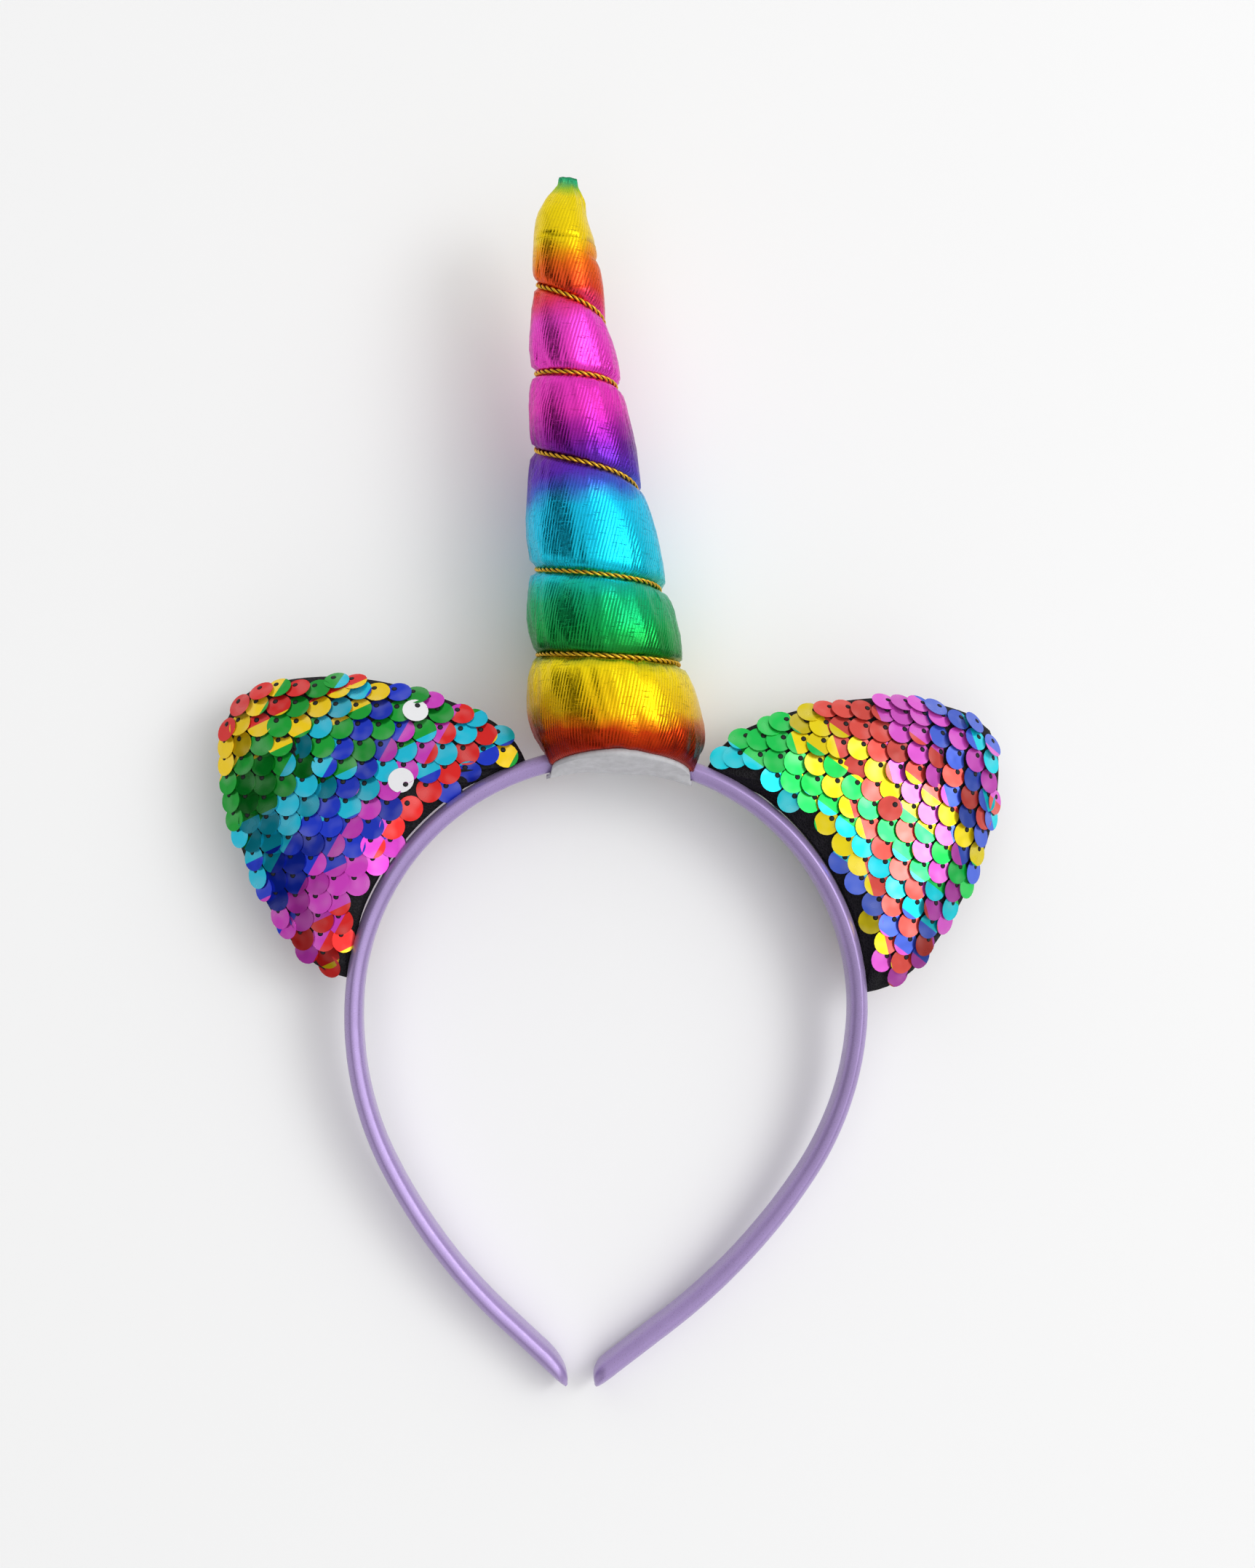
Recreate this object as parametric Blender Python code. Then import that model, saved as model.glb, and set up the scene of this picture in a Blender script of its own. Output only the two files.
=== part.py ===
"""A costume headband with a stuffed spiral horn and two padded ears, lying on its back.

Lengths are in metres. The pieces are worked out in the headband's own frame, in which x runs across
the loop, y runs up from the crown of the band towards the horn's tip, and z runs out of the loop's
plane. The stand, an empty, then lays all of it on a surface at z = 0, on the feet of the band and the
back of the horn.
"""

import math

import bmesh
import bpy
from mathutils import Matrix, Vector

# Clearance between neighbouring pieces
GAP = 0.0003

# Band
LOOP_RADIUS = 0.060
BAND_THICKNESS = 0.0046
BAND_DEPTH = 0.0100
FOOT_RUN = 0.0230
SECTION_SQUARENESS = 2.6
# Arcs of one arm from the crown down: inner radius in loop radii, and turn in degrees
ARM_ARCS = (
    {"radius": 1.00, "turn": 90.0, "steps": 26},
    {"radius": 1.27, "turn": 30.0, "steps": 7},
    {"radius": 2.33, "turn": 20.0, "steps": 5},
)
# Length over which each foot narrows from its inner side, in band thicknesses
FEET = {"left": 2.3, "right": 1.2}
FOOT_STEPS = 6
# What is left of a foot's section at its very tip
FOOT_BLUNT = 0.02
SECTION_POINTS = 16

# Pad under the horn
PAD_RADIUS = 0.0180
PAD_THICKNESS = 0.0016
PAD_THIN = 0.0010
# Height of the pad's front and back rims above its middle, in band thicknesses
PAD_RISE = 0.93
PAD_COLUMNS = 14
PAD_ROWS = 4

# Horn
HORN_HEIGHT = 0.1394
HORN_RADIUS = 0.0215
HORN_OFFSET = 0.0
HORN_TIP_SHIFT = 0.0218
HORN_BOW = 0.31
HORN_TURN_IN = 0.0060
# How deep the horn's back reaches behind the loop's plane where it rests, in horn radii
HORN_REST_DEPTH = 0.90
HORN_REST_HEIGHT = 0.0462
NUB_FLATNESS = 0.62
# Outline of the stuffed cloth: height in horn heights, radius in horn radii
HORN_OUTLINE = (
    {"height": -0.051, "radius": 0.860},
    {"height": 0.000, "radius": 0.955},
    {"height": 0.051, "radius": 1.000},
    {"height": 0.111, "radius": 0.972},
    {"height": 0.183, "radius": 0.912},
    {"height": 0.254, "radius": 0.847},
    {"height": 0.397, "radius": 0.730},
    {"height": 0.541, "radius": 0.614},
    {"height": 0.684, "radius": 0.512},
    {"height": 0.828, "radius": 0.400},
    {"height": 0.885, "radius": 0.349},
    {"height": 0.928, "radius": 0.288},
    {"height": 0.957, "radius": 0.228},
    {"height": 0.977, "radius": 0.149},
    {"height": 0.987, "radius": 0.112},
    {"height": 1.000, "radius": 0.098},
)
# Heights of the rings between the last turn of the groove and the tip, in horn heights
TIP_RINGS = (0.882, 0.911, 0.937, 0.957, 0.970, 0.980, 0.989, 1.000)

# Spiral groove and its cord
CORD_DIAMETER = 0.0017
CORD_SIDES = 6
# Groove: turns counted from the uppermost crossing on the left side, and height in horn heights
GROOVE = (
    {"turn": -0.36, "height": 0.849},
    {"turn": 0.00, "height": 0.809},
    {"turn": 0.50, "height": 0.745},
    {"turn": 1.00, "height": 0.652},
    {"turn": 1.50, "height": 0.635},
    {"turn": 2.00, "height": 0.518},
    {"turn": 2.50, "height": 0.453},
    {"turn": 3.00, "height": 0.307},
    {"turn": 3.50, "height": 0.280},
    {"turn": 4.00, "height": 0.156},
    {"turn": 4.50, "height": 0.150},
    {"turn": 4.64, "height": 0.138},
)
# Depth of the groove in local radii, and the width and bottom roundness of its pinch in cord diameters
GROOVE_DEPTH = 0.105
GROOVE_WIDTH = 2.1
GROOVE_ROUND = 0.5
GROOVE_FADE = 0.30
COLUMNS = 40
# Places of the rows between one turn of the groove and the next, as shares of that distance
ROW_PLACES = (0.0, 0.10, 0.34, 0.66, 0.90)
# Rings of the underside, in pad radii, and steps of the channel that the band leaves in it
UNDERSIDE_RINGS = (0.80, 0.55, 0.30)
CHANNEL_STEPS = 12

# Ears
# Angle of each ear's middle line above the widest part of the loop, in degrees
EAR_ANGLES = {"left": 36.6, "right": 38.1}
EAR_HEIGHT = 0.0538
EAR_WIDTH = 0.0739
EAR_PUFF = 0.0160
EAR_EDGE = 0.0018
EAR_SEAT = 0.0050
EAR_DROOP = 0.0050
# Outline of an ear: rise from its lower corners to its tip, and half width in half ear widths
EAR_OUTLINE = (
    {"rise": 0.00, "width": 0.930},
    {"rise": 0.08, "width": 0.985},
    {"rise": 0.17, "width": 1.000},
    {"rise": 0.28, "width": 0.965},
    {"rise": 0.42, "width": 0.885},
    {"rise": 0.55, "width": 0.785},
    {"rise": 0.65, "width": 0.690},
    {"rise": 0.75, "width": 0.575},
    {"rise": 0.84, "width": 0.440},
    {"rise": 0.92, "width": 0.290},
    {"rise": 0.975, "width": 0.150},
    {"rise": 1.00, "width": 0.000},
)
# Rises of the points along each side of an ear
EAR_RISES = (0.08, 0.17, 0.28, 0.40, 0.52, 0.63, 0.73, 0.82, 0.90, 0.955, 0.985)
# Rings of an ear's two faces, as shares of its outline, about a middle at this share of its height
EAR_RINGS = (1.0, 0.95, 0.86, 0.70, 0.48, 0.24)
EAR_MIDDLE = 0.40
EAR_SEAT_POINTS = 10
# Curves of the padding towards the rim and of the droop towards the tip
EAR_RIM_CURVE = 2.4
EAR_CROWN_CURVE = 0.62
EAR_DROOP_CURVE = 1.5

OUTER_RADIUS = LOOP_RADIUS + BAND_THICKNESS
CHANNEL_HALF = BAND_DEPTH / 2 + GAP
CORD_RADIUS = CORD_DIAMETER / 2


def smooth(rows, x_name, y_name, x):
    """Reads a table between its rows, with a curve that never overshoots them."""
    xs = [row[x_name] for row in rows]
    ys = [row[y_name] for row in rows]
    if x <= xs[0]:
        return ys[0]
    if x >= xs[-1]:
        return ys[-1]
    slopes = [(b - a) / (d - c) for a, b, c, d in zip(ys, ys[1:], xs, xs[1:])]
    i = max(k for k in range(len(slopes)) if xs[k] <= x)

    def tangent(k):
        if k == 0 or k == len(slopes):
            return slopes[min(k, len(slopes) - 1)]
        before, after = slopes[k - 1], slopes[k]
        if before * after <= 0:
            return 0.0
        return 2 * before * after / (before + after)

    width = xs[i + 1] - xs[i]
    t = (x - xs[i]) / width
    curve = (2 * t**3 - 3 * t**2 + 1) * ys[i] + (3 * t**2 - 2 * t**3) * ys[i + 1]
    return curve + width * ((t**3 - 2 * t**2 + t) * tangent(i) + (t**3 - t**2) * tangent(i + 1))


def make_material(name, colour, roughness, metallic):
    material = bpy.data.materials.new(name)
    material.use_nodes = True
    shader = material.node_tree.nodes["Principled BSDF"]
    shader.inputs["Base Color"].default_value = (*colour, 1.0)
    shader.inputs["Roughness"].default_value = roughness
    shader.inputs["Metallic"].default_value = metallic
    return material


def make_object(name, points, faces, material, parent):
    """Makes one closed, smooth-shaded mesh object from points and faces, coincident points merged."""
    mesh = bpy.data.meshes.new(name)
    build = bmesh.new()
    corners = [build.verts.new(point) for point in points]
    for face in faces:
        distinct = list(dict.fromkeys(face))
        if len(distinct) > 2:
            build.faces.new([corners[k] for k in distinct])
    bmesh.ops.remove_doubles(build, verts=build.verts, dist=GAP / 100)
    bmesh.ops.dissolve_degenerate(build, edges=build.edges, dist=GAP / 100)
    bmesh.ops.recalc_face_normals(build, faces=build.faces)
    build.to_mesh(mesh)
    build.free()
    mesh.materials.append(material)
    mesh.shade_smooth()
    mesh.set_sharp_from_angle(angle=math.radians(50))
    made = bpy.data.objects.new(name, mesh)
    bpy.context.scene.collection.objects.link(made)
    made.parent = parent
    return made


def tube_faces(rings, around):
    """Faces that join equal rings of points one after another, with a cap at each end."""
    faces = []
    for ring in range(rings - 1):
        for k in range(around):
            after = (k + 1) % around
            here = ring * around
            faces.append((here + k, here + after, here + around + after, here + around + k))
    faces.append(tuple(range(around))[::-1])
    faces.append(tuple((rings - 1) * around + k for k in range(around)))
    return faces


def arm_stations():
    """The inner line of one arm from the crown to its tip: (point, direction angle from +x) at each station."""
    point = Vector((0.0, -BAND_THICKNESS))
    heading = 0.0
    stations = [(point.copy(), heading)]
    for arc in ARM_ARCS:
        radius = arc["radius"] * LOOP_RADIUS
        step = math.radians(arc["turn"]) / arc["steps"]
        for _ in range(arc["steps"]):
            chord = 2 * radius * math.sin(step / 2)
            middle = heading - step / 2
            point = point + chord * Vector((math.cos(middle), math.sin(middle)))
            heading -= step
            stations.append((point.copy(), heading))
    direction = Vector((math.cos(heading), math.sin(heading)))
    for k in range(1, 2 * FOOT_STEPS + 1):
        # The steps shorten towards the tip, where the foot rounds off.
        share = math.sin(math.pi / 2 * k / (2 * FOOT_STEPS))
        stations.append((point + direction * FOOT_RUN * share, heading))
    return stations


def band_section(grow=0.0):
    """The rounded section of the band: (outward offset from the inner line, z), all round."""
    half_thickness = BAND_THICKNESS / 2 + grow
    half_depth = BAND_DEPTH / 2 + grow
    section = []
    for k in range(SECTION_POINTS):
        angle = 2 * math.pi * (k + 0.5) / SECTION_POINTS
        reach = (abs(math.cos(angle)) ** SECTION_SQUARENESS + abs(math.sin(angle)) ** SECTION_SQUARENESS)
        reach **= -1 / SECTION_SQUARENESS
        out = BAND_THICKNESS / 2 + half_thickness * reach * math.sin(angle)
        section.append((out, half_depth * reach * math.cos(angle)))
    return section


def make_headband(material, stand):
    stations = arm_stations()
    total = sum((b[0] - a[0]).length for a, b in zip(stations, stations[1:]))
    points = []
    rings = 0
    for side, foot in (("left", -1), ("right", 1)):
        taper = FEET[side] * BAND_THICKNESS
        arm = []
        left_over = total
        for k, (point, heading) in enumerate(stations):
            if k:
                left_over -= (point - stations[k - 1][0]).length
            near_tip = min(1.0, max(left_over, FOOT_BLUNT * taper) / taper)
            thin = math.sqrt(1 - (1 - near_tip) ** 2)
            near_end = min(1.0, max(left_over, FOOT_BLUNT * taper) / (BAND_DEPTH / 2))
            narrow = math.sqrt(1 - (1 - near_end) ** 2)
            normal = Vector((-math.sin(heading), math.cos(heading)))
            ring = []
            for out, z in band_section():
                # The foot narrows from its inner side, so its outer side runs straight to the tip.
                place = point + normal * (BAND_THICKNESS - (BAND_THICKNESS - out) * thin)
                ring.append((foot * place.x, place.y, z * narrow))
            arm.append(ring)
        if side == "left":
            arm = arm[:0:-1]
        for ring in arm:
            points += ring
            rings += 1
    return make_object("headband", points, tube_faces(rings, SECTION_POINTS), material, stand)


def inner_arc(x):
    """Height of the band's inner face at x, near the crown."""
    return math.sqrt(LOOP_RADIUS**2 - x**2) - OUTER_RADIUS


def flap_rise(z):
    """How far the pad's flaps have risen past the band's edges at depth z."""
    beyond = max(0.0, abs(z) - CHANNEL_HALF)
    return PAD_RISE * BAND_THICKNESS * beyond / (PAD_RADIUS - CHANNEL_HALF)


def pad_top(x, z):
    return inner_arc(x) - GAP + flap_rise(z)


def pad_bottom(x, z):
    flat = inner_arc(HORN_OFFSET) - GAP - PAD_THICKNESS
    return min(flat, inner_arc(x) - GAP - PAD_THIN) + flap_rise(z)


def make_pad(material, stand):
    """The felt patch: flat on the head side under the band's middle, with a flap up each side."""
    end = math.sqrt(PAD_RADIUS**2 - CHANNEL_HALF**2)
    columns, rows = PAD_COLUMNS, PAD_ROWS
    xs = [-end * math.cos(math.pi * k / columns) for k in range(columns + 1)]
    grid = []
    for k, x in enumerate(xs):
        rim = math.sqrt(max(PAD_RADIUS**2 - x**2, CHANNEL_HALF**2))
        flap = [CHANNEL_HALF + (rim - CHANNEL_HALF) * row / rows for row in range(rows + 1)]
        line = []
        for z in [-z for z in flap[::-1]] + [0.0] + flap:
            at_end = k in (0, columns)
            across = math.copysign(math.sqrt(PAD_RADIUS**2 - z**2), x) if at_end else x
            line.append((HORN_OFFSET + across, z))
        grid.append(line)
    width = len(grid[0])
    points = []
    for height in (pad_top, pad_bottom):
        for line in grid:
            points += [(x, height(x, z), z) for x, z in line]
    half = len(points) // 2
    faces = []
    for k in range(columns):
        for row in range(width - 1):
            a = k * width + row
            quad = (a, a + 1, a + width + 1, a + width)
            faces.append(quad)
            faces.append(tuple(half + corner for corner in quad[::-1]))
    edge = [k * width for k in range(columns + 1)]
    edge += [columns * width + row for row in range(1, width)]
    edge += [k * width + width - 1 for k in range(columns - 1, -1, -1)]
    edge += list(range(width - 2, 0, -1))
    for a, b in zip(edge, edge[1:] + edge[:1]):
        faces.append((a, b, half + b, half + a))
    return make_object("horn_pad", points, faces, material, stand)


def horn_bottom(angle):
    """Height of the horn's lower edge at this angle, just above the pad's rim."""
    return pad_top(HORN_OFFSET + PAD_RADIUS * math.cos(angle), PAD_RADIUS * math.sin(angle)) + GAP


def column_angle(turn):
    """Angle about the horn at this count of turns: 0 on the right side, half a turn on the left."""
    return math.pi - 2 * math.pi * turn


def groove_height(turn):
    """Height of the groove, carried on to the first ring above it and to the lower edge below it."""
    first, last = GROOVE[0], GROOVE[-1]
    if turn < first["turn"]:
        rise = min(1.0, first["turn"] - turn)
        return HORN_HEIGHT * (first["height"] + (TIP_RINGS[0] - first["height"]) * rise)
    if turn > last["turn"]:
        fall = min(1.0, turn - last["turn"])
        start = HORN_HEIGHT * last["height"]
        return start + (horn_bottom(column_angle(turn)) - start) * fall
    return HORN_HEIGHT * smooth(GROOVE, "turn", "height", turn)


def groove_share(turn):
    """1 where the cord lies in the groove, fading to 0 past the cord's ends."""
    past = max(GROOVE[0]["turn"] - turn, turn - GROOVE[-1]["turn"], 0.0)
    return max(0.0, 1 - past / GROOVE_FADE)


def horn_centre(height):
    share = max(0.0, height / HORN_HEIGHT)
    return HORN_OFFSET - HORN_TIP_SHIFT * ((1 + HORN_BOW) * share - HORN_BOW * share**2)


def horn_radius(height, turn):
    """Radius of the stuffed cloth, pinched by each turn of the groove and turned in at the lower edge."""
    radius = HORN_RADIUS * smooth(HORN_OUTLINE, "height", "radius", height / HORN_HEIGHT)
    pinch = 0.0
    for crossing in range(math.floor(GROOVE[0]["turn"]) - 1, math.ceil(GROOVE[-1]["turn"]) + 1):
        near = turn % 1 + crossing
        away = math.hypot(height - groove_height(near), GROOVE_ROUND * CORD_DIAMETER)
        away = (away - GROOVE_ROUND * CORD_DIAMETER) / (GROOVE_WIDTH * CORD_DIAMETER)
        pinch = max(pinch, groove_share(near) * math.exp(-away))
    radius *= 1 - GROOVE_DEPTH * pinch
    above = max(0.0, height - horn_bottom(column_angle(turn)))
    if above < HORN_TURN_IN:
        opened = math.sqrt(1 - (1 - above / HORN_TURN_IN) ** 2)
        radius = PAD_RADIUS + (radius - PAD_RADIUS) * opened
    return radius


def horn_point(height, angle, radius, flatness=1.0):
    return Vector((
        horn_centre(height) + radius * math.cos(angle),
        height,
        flatness * radius * math.sin(angle),
    ))


def make_horn(material, stand, rest_level, tilt):
    """The stuffed horn. Its rows follow the groove, so that the groove's crease is sharp all the way round."""
    rows = len(ROW_PLACES)
    first = math.floor((GROOVE[0]["turn"] - 2) * COLUMNS)
    last = math.ceil((GROOVE[-1]["turn"] + 1) * COLUMNS)
    points = []
    for column in range(first, last + COLUMNS + 1):
        turn = column / COLUMNS
        angle = column_angle(turn)
        upper, lower = groove_height(turn), groove_height(turn + 1)
        for place in ROW_PLACES:
            height = upper + (lower - upper) * place
            points.append(horn_point(height, angle, horn_radius(height, turn)))
    faces = []
    for column in range(last - first):
        for row in range(rows):
            a = column * rows + row
            below = a + 1 if row < rows - 1 else a + rows * COLUMNS - rows + 1
            faces.append((a, a + rows, below + rows, below))

    # Rings up to the gathered nub, and a cap
    ring = [column * rows for column in range(COLUMNS)]
    for share in TIP_RINGS[1:]:
        height = share * HORN_HEIGHT
        radius = HORN_RADIUS * smooth(HORN_OUTLINE, "height", "radius", share)
        past_shoulder = max(0.0, (share - TIP_RINGS[2]) / (1 - TIP_RINGS[2]))
        flatness = 1 - (1 - NUB_FLATNESS) * past_shoulder
        new = []
        for column in range(COLUMNS):
            angle = column_angle((first + column) / COLUMNS)
            new.append(len(points))
            points.append(horn_point(height, angle, radius, flatness))
        faces += [(ring[k - 1], ring[k], new[k], new[k - 1]) for k in range(COLUMNS)]
        ring = new
    faces.append(tuple(ring))

    # The underside follows the pad from the lower edge to the middle.
    start = (last - first) * rows
    ring = [start + column * rows for column in range(COLUMNS)]
    for share in UNDERSIDE_RINGS:
        new = []
        for column in range(COLUMNS):
            angle = column_angle((last + column) / COLUMNS)
            x = HORN_OFFSET + share * PAD_RADIUS * math.cos(angle)
            z = share * PAD_RADIUS * math.sin(angle)
            new.append(len(points))
            points.append(Vector((x, pad_top(x, z) + GAP, z)))
        faces += [(ring[k], ring[k - 1], new[k - 1], new[k]) for k in range(COLUMNS)]
        ring = new
    points.append(Vector((HORN_OFFSET, pad_top(HORN_OFFSET, 0.0) + GAP, 0.0)))
    faces += [(ring[k], ring[k - 1], len(points) - 1) for k in range(COLUMNS)]

    # The stuffing gives where the horn's back rests, so that it lies flat there.
    for point in points:
        level = point.y * math.sin(tilt) + point.z * math.cos(tilt)
        if level < rest_level:
            point.z = (rest_level - point.y * math.sin(tilt)) / math.cos(tilt)
    return make_object("horn", points, faces, material, stand)


def make_channel(stand):
    """A cutter: the band with clearance, opened downwards, where it passes under the horn."""
    upper = [(out, z) for out, z in band_section(GAP) if out > BAND_THICKNESS / 2]
    below = -PAD_THICKNESS - GAP
    section = [(upper[0][0], CHANNEL_HALF), *upper, (upper[-1][0], -CHANNEL_HALF)]
    section = [(below, CHANNEL_HALF), *section, (below, -CHANNEL_HALF)]
    spread = math.asin((PAD_RADIUS + HORN_OFFSET + HORN_RADIUS) / OUTER_RADIUS)
    points = []
    for k in range(-CHANNEL_STEPS, CHANNEL_STEPS + 1):
        angle = spread * k / CHANNEL_STEPS
        for out, z in section:
            radius = LOOP_RADIUS + out
            points.append((radius * math.sin(angle), radius * math.cos(angle) - OUTER_RADIUS, z))
    cutter = make_object("channel", points, tube_faces(2 * CHANNEL_STEPS + 1, len(section)), None, stand)
    cutter.hide_render = True
    cutter.display_type = "WIRE"
    return cutter


def make_cord(material, stand):
    first = math.ceil(GROOVE[0]["turn"] * COLUMNS)
    last = math.floor(GROOVE[-1]["turn"] * COLUMNS)
    centres = []
    for column in range(first, last + 1):
        turn = column / COLUMNS
        height = groove_height(turn)
        angle = column_angle(turn)
        radius = horn_radius(height, turn) + GAP + CORD_RADIUS
        centres.append((horn_point(height, angle, radius), angle))
    points = []
    for k, (centre, angle) in enumerate(centres):
        before = centres[max(k - 1, 0)][0]
        after = centres[min(k + 1, len(centres) - 1)][0]
        along = (after - before).normalized()
        outward = Vector((math.cos(angle), 0.0, math.sin(angle)))
        across = along.cross(outward).normalized()
        outward = across.cross(along).normalized()
        for side in range(CORD_SIDES):
            around = 2 * math.pi * side / CORD_SIDES
            points.append(centre + CORD_RADIUS * (math.cos(around) * outward + math.sin(around) * across))
    faces = tube_faces(len(centres), CORD_SIDES)
    return make_object("horn_cord", points, faces, material, stand)


def ear_outline():
    """Points (along the ear from the loop's centre, across it, half thickness) all round one ear."""
    seat = OUTER_RADIUS + GAP
    corner = EAR_OUTLINE[0]["width"] * EAR_WIDTH / 2
    reach = math.asin(corner / seat)
    foot = seat * math.cos(reach)
    tip = OUTER_RADIUS + EAR_HEIGHT
    outline = []
    for k in range(EAR_SEAT_POINTS + 1):
        share = k / EAR_SEAT_POINTS
        angle = reach * (2 * share - 1)
        half = (EAR_EDGE + (EAR_SEAT - EAR_EDGE) * math.sin(math.pi * share)) / 2
        outline.append((seat * math.cos(angle), seat * math.sin(angle), half))
    side = []
    for rise in EAR_RISES:
        width = smooth(EAR_OUTLINE, "rise", "width", rise) * EAR_WIDTH / 2
        side.append((foot + (tip - foot) * rise, width, EAR_EDGE / 2))
    outline += side
    outline.append((tip, 0.0, EAR_EDGE / 2))
    outline += [(along, -across, half) for along, across, half in side[::-1]]
    return outline


def make_ear(side, mirror, material, stand):
    """A padded ear: two crowned faces over one outline, its seat curved to the band and its tip drooping."""
    outline = ear_outline()
    middle = OUTER_RADIUS + EAR_MIDDLE * EAR_HEIGHT
    lean = math.radians(EAR_ANGLES[side])
    points = []

    def place(along, across, z):
        beyond = max(0.0, math.hypot(along, across) - OUTER_RADIUS) / EAR_HEIGHT
        droop = EAR_DROOP * beyond**EAR_DROOP_CURVE
        x = along * math.cos(lean) - across * math.sin(lean)
        y = along * math.sin(lean) + across * math.cos(lean)
        points.append((mirror * x, y - OUTER_RADIUS, z - droop))

    for face in (1, -1):
        for ring in EAR_RINGS:
            crown = EAR_PUFF / 2 * (1 - ring**EAR_RIM_CURVE) ** EAR_CROWN_CURVE
            for along, across, half in outline:
                thick = math.hypot(half * ring, crown)
                place(middle + (along - middle) * ring, across * ring, face * thick)
        place(middle, 0.0, face * EAR_PUFF / 2)
    count = len(outline)
    face_points = len(EAR_RINGS) * count + 1
    faces = []
    for start in (0, face_points):
        for ring in range(len(EAR_RINGS) - 1):
            for k in range(count):
                a = start + ring * count + k
                b = start + ring * count + (k + 1) % count
                faces.append((a, b, b + count, a + count))
        inner = start + (len(EAR_RINGS) - 1) * count
        for k in range(count):
            faces.append((inner + k, inner + (k + 1) % count, start + face_points - 1))
    for k in range(count):
        after = (k + 1) % count
        faces.append((k, after, face_points + after, face_points + k))
    return make_object("ear_" + side, points, faces, material, stand)


def lowest_level(made, tilt):
    """The lowest height of an object's points once the headband is tilted, before it is set down."""
    return min(p.co.y * math.sin(tilt) + p.co.z * math.cos(tilt) for p in made.data.vertices)


def resting_tilt():
    """The angle at which the feet and the back of the horn meet the same surface."""
    foot = arm_stations()[-FOOT_STEPS][0].y
    drop = HORN_REST_DEPTH * HORN_RADIUS - BAND_DEPTH / 2
    return math.atan(drop / (HORN_REST_HEIGHT * HORN_HEIGHT - foot))


def set_down(stand, pieces, tilt):
    """Turns the stand to the resting tilt, with the middle of the whole object's lower side at the origin."""
    stand.matrix_world = Matrix.Rotation(tilt, 4, "X")
    bpy.context.view_layer.update()
    corners = [piece.matrix_world @ p.co for piece in pieces for p in piece.data.vertices]
    low = Vector([min(c[k] for c in corners) for k in range(3)])
    high = Vector([max(c[k] for c in corners) for k in range(3)])
    stand.location = (-(low.x + high.x) / 2, -(low.y + high.y) / 2, -low.z)
    bpy.context.view_layer.update()


def main():
    for old in list(bpy.data.objects):
        bpy.data.objects.remove(old, do_unlink=True)
    satin = make_material("lavender satin", (0.60, 0.45, 0.80), 0.42, 0.0)
    lame = make_material("foil cloth", (0.90, 0.35, 0.60), 0.30, 0.9)
    gold = make_material("gold cord", (0.80, 0.52, 0.08), 0.35, 0.6)
    felt = make_material("pale felt", (0.62, 0.62, 0.64), 0.95, 0.0)
    sequins = make_material("sequined mesh", (0.15, 0.35, 0.75), 0.25, 0.6)

    stand = bpy.data.objects.new("stand", None)
    bpy.context.scene.collection.objects.link(stand)
    tilt = resting_tilt()
    headband = make_headband(satin, stand)
    pad = make_pad(felt, stand)
    horn = make_horn(lame, stand, lowest_level(headband, tilt), tilt)
    channel = horn.modifiers.new("band channel", "BOOLEAN")
    channel.operation = "DIFFERENCE"
    channel.object = make_channel(stand)
    cord = make_cord(gold, stand)
    left = make_ear("left", -1, sequins, stand)
    right = make_ear("right", 1, sequins, stand)
    set_down(stand, (headband, pad, horn, cord, left, right), tilt)


main()
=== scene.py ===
"""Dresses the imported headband: satin ribbon on the band, foil cloth and twisted cord on the horn, felt
under it, and sequins on the padded ears, laid on a pale floor. Lengths are in metres.

Most shapes are worked out in the headband's own frame, in which x runs across the loop, y runs up from
the crown of the band towards the horn's tip, and z runs out of the loop's plane. STAND takes that frame
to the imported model's.
"""

import math
import random

import bmesh
import bpy
from mathutils import Matrix, Vector, noise
from mathutils.bvhtree import BVHTree
from mathutils.kdtree import KDTree


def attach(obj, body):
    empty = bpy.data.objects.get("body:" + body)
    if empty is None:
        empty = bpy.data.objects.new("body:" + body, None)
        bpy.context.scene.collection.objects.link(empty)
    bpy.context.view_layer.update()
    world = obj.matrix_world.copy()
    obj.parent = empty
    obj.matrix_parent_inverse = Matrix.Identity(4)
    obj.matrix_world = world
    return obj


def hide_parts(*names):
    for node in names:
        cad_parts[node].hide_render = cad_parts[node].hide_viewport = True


bl_info = {
    "name": "Unicorn horn headband",
    "version": (1, 0, 0),
    "blender": (4, 5, 0),
    "location": "3D View > Sidebar > Headband",
    "description": "Satin band, stuffed foil-cloth horn, twisted cord, felt pad and sequined ears",
    "category": "Object",
}

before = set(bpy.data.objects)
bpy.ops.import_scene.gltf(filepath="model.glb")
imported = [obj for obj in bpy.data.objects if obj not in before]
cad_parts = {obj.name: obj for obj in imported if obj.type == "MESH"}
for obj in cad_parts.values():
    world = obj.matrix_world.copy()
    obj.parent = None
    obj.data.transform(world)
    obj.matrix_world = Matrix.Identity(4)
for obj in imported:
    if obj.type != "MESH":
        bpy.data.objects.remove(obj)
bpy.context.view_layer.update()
BODY = "root"

# Where the headband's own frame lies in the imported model
STAND_TILT = 0.0905387
STAND_PLACE = (0.0008342, 0.0093226, 0.0188659)
STAND = Matrix.Translation(STAND_PLACE) @ Matrix.Rotation(STAND_TILT, 4, "X")

# Sizes of the part's solids
GAP = 0.0003
LOOP_RADIUS = 0.060
BAND_THICKNESS = 0.0046
BAND_DEPTH = 0.0100
FOOT_RUN = 0.0230
FOOT_BLUNT = 0.02
FEET = {"left": 2.3, "right": 1.2}
ARM_ARCS = (
    {"radius": 1.00, "turn": 90.0},
    {"radius": 1.27, "turn": 30.0},
    {"radius": 2.33, "turn": 20.0},
)
OUTER_RADIUS = LOOP_RADIUS + BAND_THICKNESS
CHANNEL_HALF = BAND_DEPTH / 2 + GAP

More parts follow.
